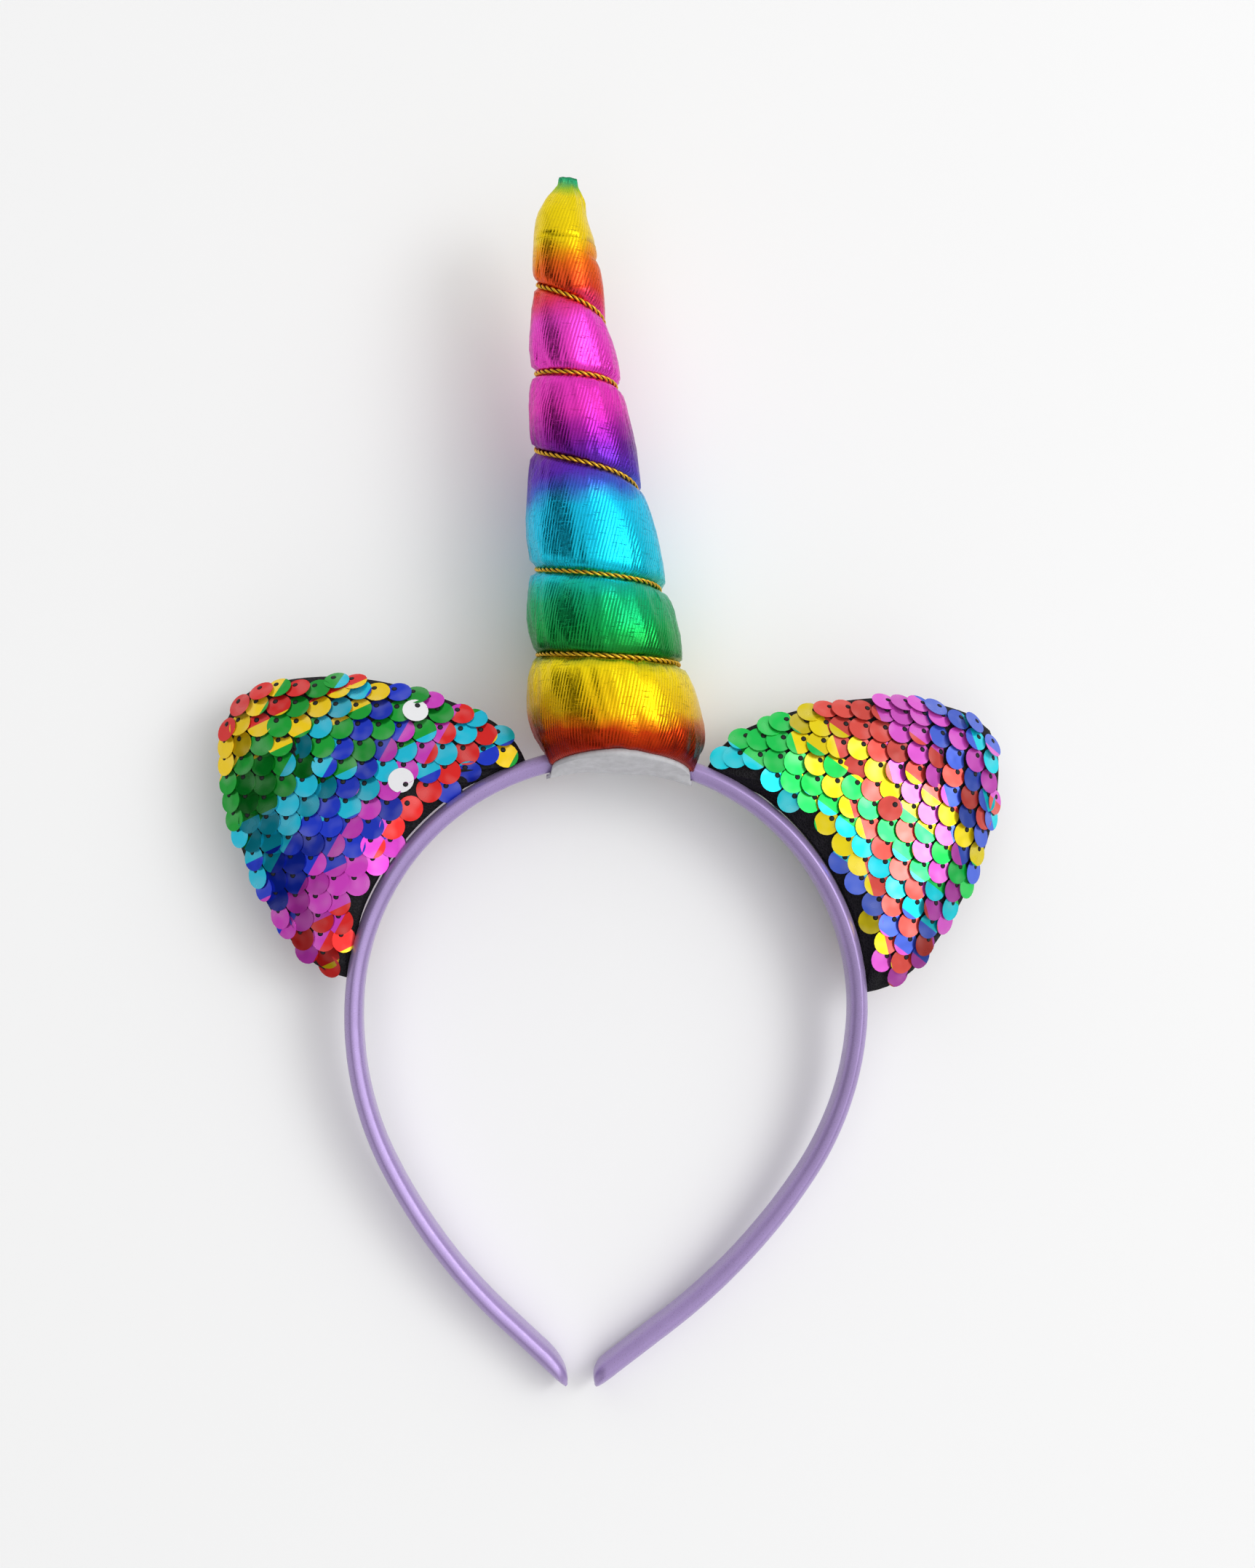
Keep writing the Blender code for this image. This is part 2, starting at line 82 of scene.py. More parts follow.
PAD_RADIUS = 0.0180
PAD_THICKNESS = 0.0016
PAD_THIN = 0.0010
PAD_RISE = 0.93
FLAP_LEVEL = -0.0052

HORN_HEIGHT = 0.1394
HORN_RADIUS = 0.0215
HORN_OFFSET = 0.0
HORN_TIP_SHIFT = 0.0218
HORN_BOW = 0.31
HORN_TURN_IN = 0.0060
NUB_FLATNESS = 0.62
HORN_OUTLINE = (
    {"height": -0.051, "radius": 0.860},
    {"height": 0.000, "radius": 0.955},
    {"height": 0.051, "radius": 1.000},
    {"height": 0.111, "radius": 0.972},
    {"height": 0.183, "radius": 0.912},
    {"height": 0.254, "radius": 0.847},
    {"height": 0.397, "radius": 0.730},
    {"height": 0.541, "radius": 0.614},
    {"height": 0.684, "radius": 0.512},
    {"height": 0.828, "radius": 0.400},
    {"height": 0.885, "radius": 0.349},
    {"height": 0.928, "radius": 0.288},
    {"height": 0.957, "radius": 0.228},
    {"height": 0.977, "radius": 0.149},
    {"height": 0.987, "radius": 0.112},
    {"height": 1.000, "radius": 0.098},
)
TIP_RINGS = (
    0.882, 0.896, 0.911, 0.924, 0.937, 0.948, 0.957, 0.964, 0.970, 0.975, 0.980, 0.985, 0.990, 0.996, 1.000,
)
SHOULDER = 0.937

CORD_DIAMETER = 0.0017
GROOVE = (
    {"turn": -0.36, "height": 0.849},
    {"turn": 0.00, "height": 0.809},
    {"turn": 0.50, "height": 0.745},
    {"turn": 1.00, "height": 0.652},
    {"turn": 1.50, "height": 0.635},
    {"turn": 2.00, "height": 0.518},
    {"turn": 2.50, "height": 0.453},
    {"turn": 3.00, "height": 0.307},
    {"turn": 3.50, "height": 0.280},
    {"turn": 4.00, "height": 0.156},
    {"turn": 4.50, "height": 0.150},
    {"turn": 4.64, "height": 0.138},
)
GROOVE_DEPTH = 0.105
GROOVE_WIDTH = 2.1
GROOVE_ROUND = 0.5
GROOVE_FADE = 0.30

EAR_ANGLES = {"left": 36.6, "right": 38.1}
EAR_MIRROR = {"left": -1, "right": 1}
EAR_HEIGHT = 0.0538
EAR_WIDTH = 0.0739
EAR_PUFF = 0.0160
EAR_EDGE = 0.0018
EAR_SEAT = 0.0050
EAR_DROOP = 0.0050
EAR_MIDDLE = 0.40
EAR_RIM_CURVE = 2.4
EAR_CROWN_CURVE = 0.62
EAR_DROOP_CURVE = 1.5
EAR_OUTLINE = (
    {"rise": 0.00, "width": 0.930},
    {"rise": 0.08, "width": 0.985},
    {"rise": 0.17, "width": 1.000},
    {"rise": 0.28, "width": 0.965},
    {"rise": 0.42, "width": 0.885},
    {"rise": 0.55, "width": 0.785},
    {"rise": 0.65, "width": 0.690},
    {"rise": 0.75, "width": 0.575},
    {"rise": 0.84, "width": 0.440},
    {"rise": 0.92, "width": 0.290},
    {"rise": 0.975, "width": 0.150},
    {"rise": 1.00, "width": 0.000},
)

# Detail of the dressed pieces

# How far the band's feet have sprung to one side
FOOT_SWAY = -0.0024
# How far the nub at the horn's tip leans to the right
NUB_SHIFT = 0.0016
STRAND_RADIUS = 0.00032
STRAND_OFFSET = 0.00028
# How far the stitching draws the cloth in under the cord, beyond the groove, and how wide that crease is
CREASE_DEPTH = 0.0013
CREASE_WIDTH = 0.0011
BAND_STEP = 0.0011
HORN_COLUMNS = 132
HORN_ROWS = (0.0, 0.035, 0.085, 0.16, 0.27, 0.42, 0.58, 0.73, 0.84, 0.915, 0.965)
UNDERSIDE_RINGS = (0.93, 0.80, 0.66, 0.52, 0.38, 0.24, 0.12)
HORN_APEX = 0.185
EAR_RINGS = (1.0, 0.975, 0.94, 0.895, 0.84, 0.77, 0.69, 0.60, 0.50, 0.40, 0.30, 0.20, 0.10)
# Thickness of the cushion under the sequins, against the solid ear
CUSHION_SHARE = 0.93
# Pressure of the filling, and how far it may move the cloth
SWELL_PRESSURE = 4.0
HORN_SWELL = 0.0010
EAR_SWELL = 0.0006
EAR_SEAT_POINTS = 40
EAR_SIDE_POINTS = 34

# Slant of the foil cloth's ribs across the horn's axis
RIB_TURN = math.radians(20.0)
# Rainbow of the foil cloth, from the horn's lower edge to its tip
FOIL_BANDS = (
    {"height": 0.000, "colour": (0.340, 0.016, 0.003)},
    {"height": 0.028, "colour": (0.620, 0.050, 0.004)},
    {"height": 0.045, "colour": (0.780, 0.220, 0.004)},
    {"height": 0.062, "colour": (0.900, 0.520, 0.004)},
    {"height": 0.130, "colour": (0.960, 0.740, 0.006)},
    {"height": 0.158, "colour": (0.015, 0.220, 0.025)},
    {"height": 0.200, "colour": (0.006, 0.360, 0.070)},
    {"height": 0.250, "colour": (0.006, 0.420, 0.160)},
    {"height": 0.278, "colour": (0.008, 0.500, 0.360)},
    {"height": 0.302, "colour": (0.008, 0.620, 0.800)},
    {"height": 0.415, "colour": (0.010, 0.580, 0.900)},
    {"height": 0.446, "colour": (0.050, 0.120, 0.620)},
    {"height": 0.475, "colour": (0.110, 0.030, 0.500)},
    {"height": 0.515, "colour": (0.160, 0.012, 0.300)},
    {"height": 0.548, "colour": (0.380, 0.016, 0.360)},
    {"height": 0.585, "colour": (0.860, 0.040, 0.520)},
    {"height": 0.740, "colour": (0.900, 0.060, 0.600)},
    {"height": 0.768, "colour": (0.820, 0.040, 0.160)},
    {"height": 0.792, "colour": (0.800, 0.050, 0.020)},
    {"height": 0.832, "colour": (0.880, 0.140, 0.010)},
    {"height": 0.856, "colour": (0.930, 0.340, 0.006)},
    {"height": 0.878, "colour": (0.950, 0.660, 0.006)},
    {"height": 0.962, "colour": (0.940, 0.740, 0.006)},
    {"height": 0.983, "colour": (0.350, 0.600, 0.030)},
    {"height": 0.994, "colour": (0.030, 0.420, 0.180)},
)

# Rainbow of the sequins' print: where each colour starts along one cycle, and its colour on each ear
# The right ear's colours are painted lighter, as lit, and the left ear's darker, as shaded: painted light and
# shade.
FILM_COLOURS = (
    {"start": 0.000, "left": (0.760, 0.016, 0.014), "right": (0.800, 0.090, 0.070)},
    {"start": 0.183, "left": (0.930, 0.640, 0.004), "right": (0.950, 0.760, 0.006)},
    {"start": 0.317, "left": (0.004, 0.350, 0.030), "right": (0.010, 0.680, 0.100)},
    {"start": 0.517, "left": (0.008, 0.540, 0.740), "right": (0.008, 0.740, 0.860)},
    {"start": 0.667, "left": (0.008, 0.036, 0.580), "right": (0.075, 0.150, 0.760)},
    {"start": 0.833, "left": (0.620, 0.045, 0.520), "right": (0.800, 0.115, 0.680)},
)
# The lattice of each ear's sequins: a hole's place, and the directions of its rows, columns and holes in
# degrees
SEQUIN_LATTICES = {
    "left": {"place": (-0.0728, -0.0070), "row": 0.3, "column": -80.9, "hole": 124.0},
    "right": {"place": (0.0578, -0.0105), "row": -2.1, "column": -96.8, "hole": 44.0},
}
# The two prints whose sequins alternate on each ear: direction in degrees, length of a cycle, and start at
# the place
SEQUIN_PRINTS = {
    "left": (
        {"direction": -26.0, "cycle": 0.0600, "start": 0.629},
        {"direction": -62.0, "cycle": 0.0600, "start": 0.427},
    ),
    "right": (
        {"direction": -163.0, "cycle": 0.0680, "start": 0.167},
        {"direction": -123.7, "cycle": 0.0536, "start": 0.420},
    ),
}
# Sequins turned over to their plain white side: lattice column and row, and direction of the hole in degrees
FLIPPED = {
    "left": (
        {"column": 4, "row": 1, "hole": -34.0},
        {"column": 5, "row": -3, "hole": 75.0},
    ),
    "right": (),
}
# Lattice rows and columns tried on each side of the lattice's place
SEQUIN_REACH = 14
# Least height of the swollen cloth above the floor
FLOOR_ROOM = 0.00005
# How much of a sequin's overhang past its hole is kept inside the ear's rim
RIM_SHARE = 0.8
# Width of the bare mesh between the band and the first sequins
BARE_EDGE = {"left": 0.0030, "right": 0.0046}
# Cards in the studio's dome: direction, brightness against the dome's, and the angles of their soft edge in
# degrees
STUDIO_CARDS = (
    {"toward": (0.66, 0.10, 0.74), "strength": 2.6, "inner": 10.0, "outer": 34.0},
    {"toward": (-0.86, 0.04, 0.51), "strength": 0.00, "inner": 19.0, "outer": 29.0},
    {"toward": (-0.55, -0.70, 0.45), "strength": 0.12, "inner": 8.0, "outer": 28.0},
    {"toward": (0.97, -0.20, -0.10), "strength": 0.20, "inner": 20.0, "outer": 50.0},
)
KEY_SIZE = 0.5
KEY_PLACE = (0.80, 0.25, 0.90)
FLOOR_HALF = 1.6
# The camera's target in the headband's frame, its turn aside and its roll in degrees, and the width that the
# picture shows there
CAMERA_AIM = (0.0021, -0.0090, 0.0)
CAMERA_YAW = 3.7
CAMERA_ROLL = 2.8
PICTURE_WIDTH = 0.3105


def length(name, description, default):
    return bpy.props.FloatProperty(name=name, description=description, default=default, unit="LENGTH")


def shade(name, description, default):
    return bpy.props.FloatVectorProperty(
        name=name, description=description, default=default, subtype="COLOR", size=3)


class BandLooks(bpy.types.PropertyGroup):
    ribbon: shade("Ribbon", "Colour of the satin ribbon", (0.390, 0.285, 0.560))
    lap: length("Ribbon lap", "Thickness of the ribbon's folded edge", 0.00012)
    wrinkle: length("Wrinkles", "Height of the ribbon's wrinkles", 0.00007)


class HornLooks(bpy.types.PropertyGroup):
    puckers: length("Puckers", "Height of the folds beside the cord", 0.00075)
    gathers: length("Gathers", "Height of the folds at the lower edge", 0.00080)
    lumps: length("Lumps", "Unevenness of the stuffing", 0.00055)
    rib_pitch: length("Rib pitch", "Distance between the ribs of the foil cloth", 0.00076)


class CordLooks(bpy.types.PropertyGroup):
    gold: shade("Gold", "Colour of the metallic thread", (1.00, 0.56, 0.030))
    twist: length("Twist", "Length of one turn of the two strands", 0.0038)


class PadLooks(bpy.types.PropertyGroup):
    felt: shade("Felt", "Colour of the felt", (0.56, 0.56, 0.58))


class EarLooks(bpy.types.PropertyGroup):
    diameter: length("Sequin diameter", "Diameter of one sequin", 0.0063)
    hole: length("Hole diameter", "Diameter of its hole", 0.0014)
    hole_offset: length("Hole offset", "From a sequin's middle to its hole", 0.00155)
    thickness: length("Film thickness", "Thickness of the film", 0.00010)
    row_pitch: length("Row pitch", "Distance between the holes along a row", 0.00500)
    column_pitch: length("Column pitch", "Distance between the rows", 0.00475)
    lean: bpy.props.FloatProperty(
        name="Lean", description="Angle between a sequin and the cloth", subtype="ANGLE",
        default=math.radians(10.5))
    mesh: shade("Mesh", "Colour of the mesh ground", (0.002, 0.002, 0.003))


class StageLooks(bpy.types.PropertyGroup):
    floor: shade("Floor", "Colour of the floor", (0.93, 0.93, 0.93))
    key: bpy.props.FloatProperty(
        name="Key light", description="Power of the main light", default=2.5, unit="POWER")
    dome: bpy.props.FloatProperty(
        name="Dome", description="Brightness of the studio's dome", default=0.85)
    distance: length("Camera distance", "From the camera to the band", 0.450)


# Shapes shared with the part

def smooth(rows, x_name, y_name, x):
    """Reads a table between its rows, with a curve that never overshoots them."""
    xs = [row[x_name] for row in rows]
    ys = [row[y_name] for row in rows]
    if x <= xs[0]:
        return ys[0]
    if x >= xs[-1]:
        return ys[-1]
    slopes = [(b - a) / (d - c) for a, b, c, d in zip(ys, ys[1:], xs, xs[1:])]
    i = max(k for k in range(len(slopes)) if xs[k] <= x)

    def tangent(k):
        if k == 0 or k == len(slopes):
            return slopes[min(k, len(slopes) - 1)]
        before, after = slopes[k - 1], slopes[k]
        if before * after <= 0:
            return 0.0
        return 2 * before * after / (before + after)

    width = xs[i + 1] - xs[i]
    t = (x - xs[i]) / width
    curve = (2 * t**3 - 3 * t**2 + 1) * ys[i] + (3 * t**2 - 2 * t**3) * ys[i + 1]
    return curve + width * ((t**3 - 2 * t**2 + t) * tangent(i) + (t**3 - t**2) * tangent(i + 1))


def blend_between(low, high, x):
    """0 below low, 1 above high, and smooth between them."""
    t = min(1.0, max(0.0, (x - low) / (high - low)))
    return t * t * (3 - 2 * t)


def inner_arc(x):
    return math.sqrt(LOOP_RADIUS**2 - x**2) - OUTER_RADIUS


def flap_share(z):
    """0 under the band, and 1 on the pad's front and back flaps."""
    return blend_between(CHANNEL_HALF, CHANNEL_HALF + 0.0018, abs(z))


def flap_rise(z):
    beyond = max(0.0, abs(z) - CHANNEL_HALF)
    return PAD_RISE * BAND_THICKNESS * beyond / (PAD_RADIUS - CHANNEL_HALF)


def pad_top(x, z):
    under = inner_arc(x) - GAP
    return under + (max(under, FLAP_LEVEL) - under) * flap_share(z) + flap_rise(z)


def pad_bottom(x, z):
    flat = inner_arc(HORN_OFFSET) - GAP - PAD_THICKNESS
    under = min(flat, inner_arc(x) - GAP - PAD_THIN)
    return under + (flat - under) * flap_share(z) + flap_rise(z)


def under_horn(x, z):
    """Height of the horn's underside: over the band in the middle, and on the pad's flaps beside it."""
    over_band = math.sqrt((OUTER_RADIUS + GAP) ** 2 - x**2) - OUTER_RADIUS
    beside = blend_between(CHANNEL_HALF - 0.0004, CHANNEL_HALF + 0.0012, abs(z))
    return over_band + (pad_top(x, z) + GAP - over_band) * beside


def horn_bottom(angle):
    return under_horn(HORN_OFFSET + PAD_RADIUS * math.cos(angle), PAD_RADIUS * math.sin(angle))


def column_angle(turn):
    """Angle about the horn at this count of turns: 0 on the right side, half a turn on the left."""
    return math.pi - 2 * math.pi * turn


def groove_height(turn):
    first, last = GROOVE[0], GROOVE[-1]
    if turn < first["turn"]:
        rise = min(1.0, first["turn"] - turn)
        return HORN_HEIGHT * (first["height"] + (TIP_RINGS[0] - first["height"]) * rise)
    if turn > last["turn"]:
        fall = min(1.0, turn - last["turn"])
        start = HORN_HEIGHT * last["height"]
        return start + (horn_bottom(column_angle(turn)) - start) * fall
    return HORN_HEIGHT * smooth(GROOVE, "turn", "height", turn)


def groove_share(turn):
    past = max(GROOVE[0]["turn"] - turn, turn - GROOVE[-1]["turn"], 0.0)
    return max(0.0, 1 - past / GROOVE_FADE)


def horn_centre(height):
    share = max(0.0, height / HORN_HEIGHT)
    bent = HORN_OFFSET - HORN_TIP_SHIFT * ((1 + HORN_BOW) * share - HORN_BOW * share**2)
    return bent + NUB_SHIFT * blend_between(0.92, 1.0, share)


def horn_lean(height):
    """Slope of the horn's middle line: how far it goes across for each metre up."""
    share = min(1.0, max(0.0, height / HORN_HEIGHT))
    return -HORN_TIP_SHIFT / HORN_HEIGHT * (1 + HORN_BOW - 2 * HORN_BOW * share)


def groove_crossings(turn):
    """Each crossing of the groove at this angle: (count of turns, height)."""
    for crossing in range(math.floor(GROOVE[0]["turn"]) - 1, math.ceil(GROOVE[-1]["turn"]) + 1):
        near = turn % 1 + crossing
        yield near, groove_height(near)


def horn_radius(height, turn):
    """Radius of the stuffed cloth, pinched by each turn of the groove and turned in at the lower edge."""
    radius = HORN_RADIUS * smooth(HORN_OUTLINE, "height", "radius", height / HORN_HEIGHT)
    pinch = 0.0
    for near, level in groove_crossings(turn):
        away = math.hypot(height - level, GROOVE_ROUND * CORD_DIAMETER)
        away = (away - GROOVE_ROUND * CORD_DIAMETER) / (GROOVE_WIDTH * CORD_DIAMETER)
        pinch = max(pinch, groove_share(near) * math.exp(-away))
    radius *= 1 - GROOVE_DEPTH * pinch
    above = max(0.0, height - horn_bottom(column_angle(turn)))
    if above < HORN_TURN_IN:
        opened = math.sqrt(1 - (1 - above / HORN_TURN_IN) ** 2)
        radius = PAD_RADIUS + (radius - PAD_RADIUS) * opened
    return radius


def horn_point(height, angle, radius, flatness=1.0):
    return Vector((
        horn_centre(height) + radius * math.cos(angle),
        height,
        flatness * radius * math.sin(angle),
    ))


def arm_stations(step):
    """The inner line of one arm from the crown to its tip: (point, heading, distance) at each station."""
    point = Vector((0.0, -BAND_THICKNESS))
    heading = 0.0
    distance = 0.0
    stations = [(point.copy(), heading, distance)]
    for arc in ARM_ARCS:
        radius = arc["radius"] * LOOP_RADIUS
        turn = math.radians(arc["turn"])
        count = math.ceil(radius * turn / step)
        for _ in range(count):
            chord = 2 * radius * math.sin(turn / count / 2)
            middle = heading - turn / count / 2
            point = point + chord * Vector((math.cos(middle), math.sin(middle)))
            heading -= turn / count
            distance += chord
            stations.append((point.copy(), heading, distance))
    direction = Vector((math.cos(heading), math.sin(heading)))
    count = math.ceil(2 * FOOT_RUN / step)
    for k in range(1, count + 1):
        # The steps shorten towards the tip, where the foot rounds off.
        run = FOOT_RUN * math.sin(math.pi / 2 * k / count)
        stations.append((point + direction * run, heading, distance + run))
    return stations


# Meshes and materials

def finish_mesh(name, build, material):
    """Makes an object at the origin from a bmesh in the headband's frame."""
    bmesh.ops.remove_doubles(build, verts=build.verts, dist=GAP / 300)
    bmesh.ops.dissolve_degenerate(build, edges=build.edges, dist=GAP / 300)
    bmesh.ops.recalc_face_normals(build, faces=build.faces)
    build.transform(STAND)
    mesh = bpy.data.meshes.new(name)
    build.to_mesh(mesh)
    build.free()
    mesh.materials.append(material)
    mesh.shade_smooth()
    made = bpy.data.objects.new(name, mesh)
    bpy.context.scene.collection.objects.link(made)
    return made


def build_mesh(points, faces, uvs=None, values=None):
    """A bmesh of points and faces. uvs gives each face's corners, and values one number for each point."""
    build = bmesh.new()
    layers = {name: build.verts.layers.float.new(name) for name in (values or {})}
    corners = []
    for k, point in enumerate(points):
        corner = build.verts.new(point)
        for name, layer in layers.items():
            corner[layer] = values[name][k]
        corners.append(corner)
    map_layer = build.loops.layers.uv.new("cloth") if uvs else None
    for k, face in enumerate(faces):
        if len(set(face)) < 3:
            continue
        made = build.faces.new([corners[c] for c in dict.fromkeys(face)])
        if uvs:
            places = dict(zip(face, uvs[k]))
            for loop, corner in zip(made.loops, dict.fromkeys(face)):
                loop[map_layer].uv = places[corner]
    return build


def to_plain_mesh(made):
    """Turns an object with modifiers into a plain mesh object of the same name."""
    name = made.name
    graph = bpy.context.evaluated_depsgraph_get()
    mesh = bpy.data.meshes.new_from_object(made.evaluated_get(graph), depsgraph=graph)
    old = made.data
    is_mesh = made.type == "MESH"
    bpy.data.objects.remove(made)
    if is_mesh and not old.users:
        bpy.data.meshes.remove(old)
    mesh.name = name
    plain = bpy.data.objects.new(name, mesh)
    bpy.context.scene.collection.objects.link(plain)
    return plain


def tube_faces(rings, around):
    faces = []
    for ring in range(rings - 1):
        for k in range(around):
            after = (k + 1) % around
            here = ring * around
            faces.append((here + k, here + after, here + around + after, here + around + k))
    return faces


class Shades:
    """A new material whose nodes are added and joined with few words."""

    def __init__(self, name):
        self.material = bpy.data.materials.new(name)
        self.material.use_nodes = True
        self.tree = self.material.node_tree
        self.shader = self.tree.nodes["Principled BSDF"]
        self.column = -300

    def add(self, kind, **settings):
        node = self.tree.nodes.new(kind)
        node.location = (self.column, 200 - 40 * len(self.tree.nodes))
        self.column -= 60
        for name, value in settings.items():
            setattr(node, name, value)
        return node

    def join(self, source, target):
        self.tree.links.new(source, target)

    def set(self, **values):
        for name, value in values.items():
            socket = self.shader.inputs[name.replace("_", " ").title().replace("Ior", "IOR")]
            socket.default_value = (*value, 1.0) if isinstance(value, tuple) and len(value) == 3 else value

    def math(self, operation, first, second=0.5):
        node = self.add("ShaderNodeMath", operation=operation)
        for socket, value in zip(node.inputs, (first, second)):
            if isinstance(value, (int, float)):
                socket.default_value = value
            else:
                self.join(value, socket)
        return node.outputs[0]

    def object_place(self):
        return self.add("ShaderNodeTexCoord").outputs["Object"]

    def value(self, name):
        return self.add("ShaderNodeAttribute", attribute_name=name).outputs["Fac"]

    def map_place(self, scale=(1.0, 1.0, 1.0), turn=0.0):
        """Places on the piece's own UV map, turned and scaled."""
        source = self.add("ShaderNodeUVMap", uv_map="cloth").outputs["UV"]
        mapping = self.add("ShaderNodeMapping")
        mapping.inputs["Scale"].default_value = scale
        mapping.inputs["Rotation"].default_value = (0.0, 0.0, turn)
        self.join(source, mapping.inputs["Vector"])
        return mapping.outputs["Vector"]

    def scaled(self, place, scale):
        mapping = self.add("ShaderNodeMapping")
        mapping.inputs["Scale"].default_value = scale
        self.join(place, mapping.inputs["Vector"])
        return mapping.outputs["Vector"]

    def noise(self, place, scale, detail=3.0, roughness=0.55):
        node = self.add("ShaderNodeTexNoise")
        node.inputs["Scale"].default_value = scale
        node.inputs["Detail"].default_value = detail
        node.inputs["Roughness"].default_value = roughness
        self.join(place, node.inputs["Vector"])
        return node.outputs["Fac"]

    def spread(self, value, low, high, to_low=0.0, to_high=1.0):
        node = self.add("ShaderNodeMapRange")
        for name, number in (("From Min", low), ("From Max", high), ("To Min", to_low), ("To Max", to_high)):
            node.inputs[name].default_value = number
        self.join(value, node.inputs["Value"])
        return node.outputs["Result"]

    def ramp(self, value, stops, interpolation="LINEAR"):
        node = self.add("ShaderNodeValToRGB")
        node.color_ramp.interpolation = interpolation
        elements = node.color_ramp.elements
        for k, (position, colour) in enumerate(stops):
            stop = elements[k] if k < 2 else elements.new(position)
            stop.position = position
            stop.color = (*colour, 1.0)
        self.join(value, node.inputs["Fac"])
        return node.outputs["Color"]

    def mix(self, share, first, second, blend="MIX"):
        node = self.add("ShaderNodeMix", data_type="RGBA", blend_type=blend, clamp_factor=True)
        for socket, value in ((node.inputs[0], share), (node.inputs[6], first), (node.inputs[7], second)):
            if isinstance(value, (int, float)):
                socket.default_value = value
            elif isinstance(value, tuple):
                socket.default_value = (*value, 1.0)
            else:
                self.join(value, socket)
        return node.outputs[2]

    def bump(self, height, distance, strength=1.0, under=None):
        node = self.add("ShaderNodeBump")
        node.inputs["Strength"].default_value = strength
        node.inputs["Distance"].default_value = distance
        self.join(height, node.inputs["Height"])
        if under is not None:
            self.join(under, node.inputs["Normal"])
        self.join(node.outputs["Normal"], self.shader.inputs["Normal"])
        return node.outputs["Normal"]


def satin_material(colour):
    """Satin ribbon: long floating threads across it with a painted sheen on them, a soft sheen and slight
    random changes of tone.
    """
    shades = Shades("lavender satin ribbon")
    threads = shades.noise(shades.map_place((900.0, 9000.0, 1.0)), 1.0, 2.0)
    weave = shades.noise(shades.map_place((7000.0, 1500.0, 1.0)), 1.0, 1.0)
    clouds = shades.noise(shades.object_place(), 55.0, 3.0)
    shade = shades.mix(shades.spread(clouds, 0.35, 0.65), tuple(0.90 * c for c in colour), tuple(colour))
    # Painted sheen: the floating threads are painted up to a lighter copy of the ribbon's colour.
    thread_painted_sheen = tuple(min(1.0, 1.16 * c) for c in colour)
    shade = shades.mix(shades.spread(threads, 0.42, 0.68, 0.0, 0.35), shade, thread_painted_sheen)
    shades.join(shade, shades.shader.inputs["Base Color"])
    shades.join(shades.spread(weave, 0.3, 0.7, 0.26, 0.40), shades.shader.inputs["Roughness"])
    under = shades.bump(threads, 0.00003, 0.55)
    shades.bump(weave, 0.00002, 0.45, under)
    shades.set(metallic=0.35, anisotropic=0.5, sheen_weight=0.20, sheen_roughness=0.30)
    shades.shader.inputs["Sheen Tint"].default_value = (0.93, 0.86, 1.0, 1.0)
    return shades.material


def foil_material(rib_pitch):
    """Foil-coated ribbed knit: bands of colour, ribs slanting across them with painted shade in their
    furrows, and fine cracks in the foil.
    """
    shades = Shades("rainbow foil cloth")
    height = shades.value("height_share")
    drift = shades.noise(shades.object_place(), 120.0, 4.0)
    place = shades.math("ADD", height, shades.spread(drift, 0.25, 0.75, -0.012, 0.012))
    bands = [(max(0.0, row["height"]), row["colour"]) for row in FOIL_BANDS]
    colour = shades.ramp(place, bands)

    ribs = shades.add("ShaderNodeTexWave", wave_type="BANDS", bands_direction="X", wave_profile="SIN")
    ribs.inputs["Scale"].default_value = math.pi / 10 / rib_pitch
    ribs.inputs["Distortion"].default_value = 1.1
    ribs.inputs["Detail"].default_value = 2.0
    ribs.inputs["Detail Scale"].default_value = 0.35
    shades.join(shades.map_place(turn=RIB_TURN), ribs.inputs["Vector"])
    rib = ribs.outputs["Fac"]
    knit = shades.noise(shades.map_place((2300.0, 4200.0, 1.0), RIB_TURN), 1.0, 2.0)
    cracks = shades.noise(shades.map_place((260.0, 2600.0, 1.0)), 1.0, 4.0, 0.65)
    crack = shades.spread(cracks, 0.60, 0.68)
    wear = shades.noise(shades.object_place(), 700.0, 4.0, 0.7)

    # A darker copy of the foil: painted shade for the ribs' furrows, and the darkness of cracks and wear.
    dark = shades.mix(0.62, colour, (0.0, 0.0, 0.0))
    # Painted shade: the furrows between the ribs are darkened.
    colour = shades.mix(shades.spread(rib, 0.0, 0.55, 0.30, 0.0), colour, dark)
    colour = shades.mix(shades.math("MULTIPLY", crack, 0.55), colour, dark)
    colour = shades.mix(shades.spread(wear, 0.62, 0.72, 0.0, 0.5), colour, dark)
    shades.join(colour, shades.shader.inputs["Base Color"])
    shades.join(shades.spread(wear, 0.3, 0.7, 0.22, 0.36), shades.shader.inputs["Roughness"])
    under = shades.bump(rib, 0.00010, 0.45)
    under = shades.bump(knit, 0.00008, 0.45, under)
    shades.bump(crack, -0.00010, 0.6, under)
    shades.set(metallic=0.95)
    return shades.material


def gold_material(colour):
    """Metallic thread: fine plies across each strand with painted shade between them, and painted shade where
    the strands meet.
    """
    shades = Shades("twisted gold thread")
    cleft = shades.value("cleft")
    plies = shades.noise(shades.map_place((5200.0, 900.0, 1.0)), 1.0, 2.0)
    # Painted shade between the plies: the low parts of the plies are darkened.
    plies_painted_shade = shades.mix(shades.spread(plies, 0.35, 0.65), tuple(0.62 * c for c in colour), tuple(colour))
    # Painted shade where the two strands meet.
    shade = shades.mix(shades.spread(cleft, 0.20, 0.70), plies_painted_shade, (0.10, 0.016, 0.003))
    shades.join(shade, shades.shader.inputs["Base Color"])
    shades.join(shades.spread(plies, 0.3, 0.7, 0.22, 0.42), shades.shader.inputs["Roughness"])
    shades.bump(plies, 0.00008, 0.8)
    shades.set(metallic=0.75)
    return shades.material


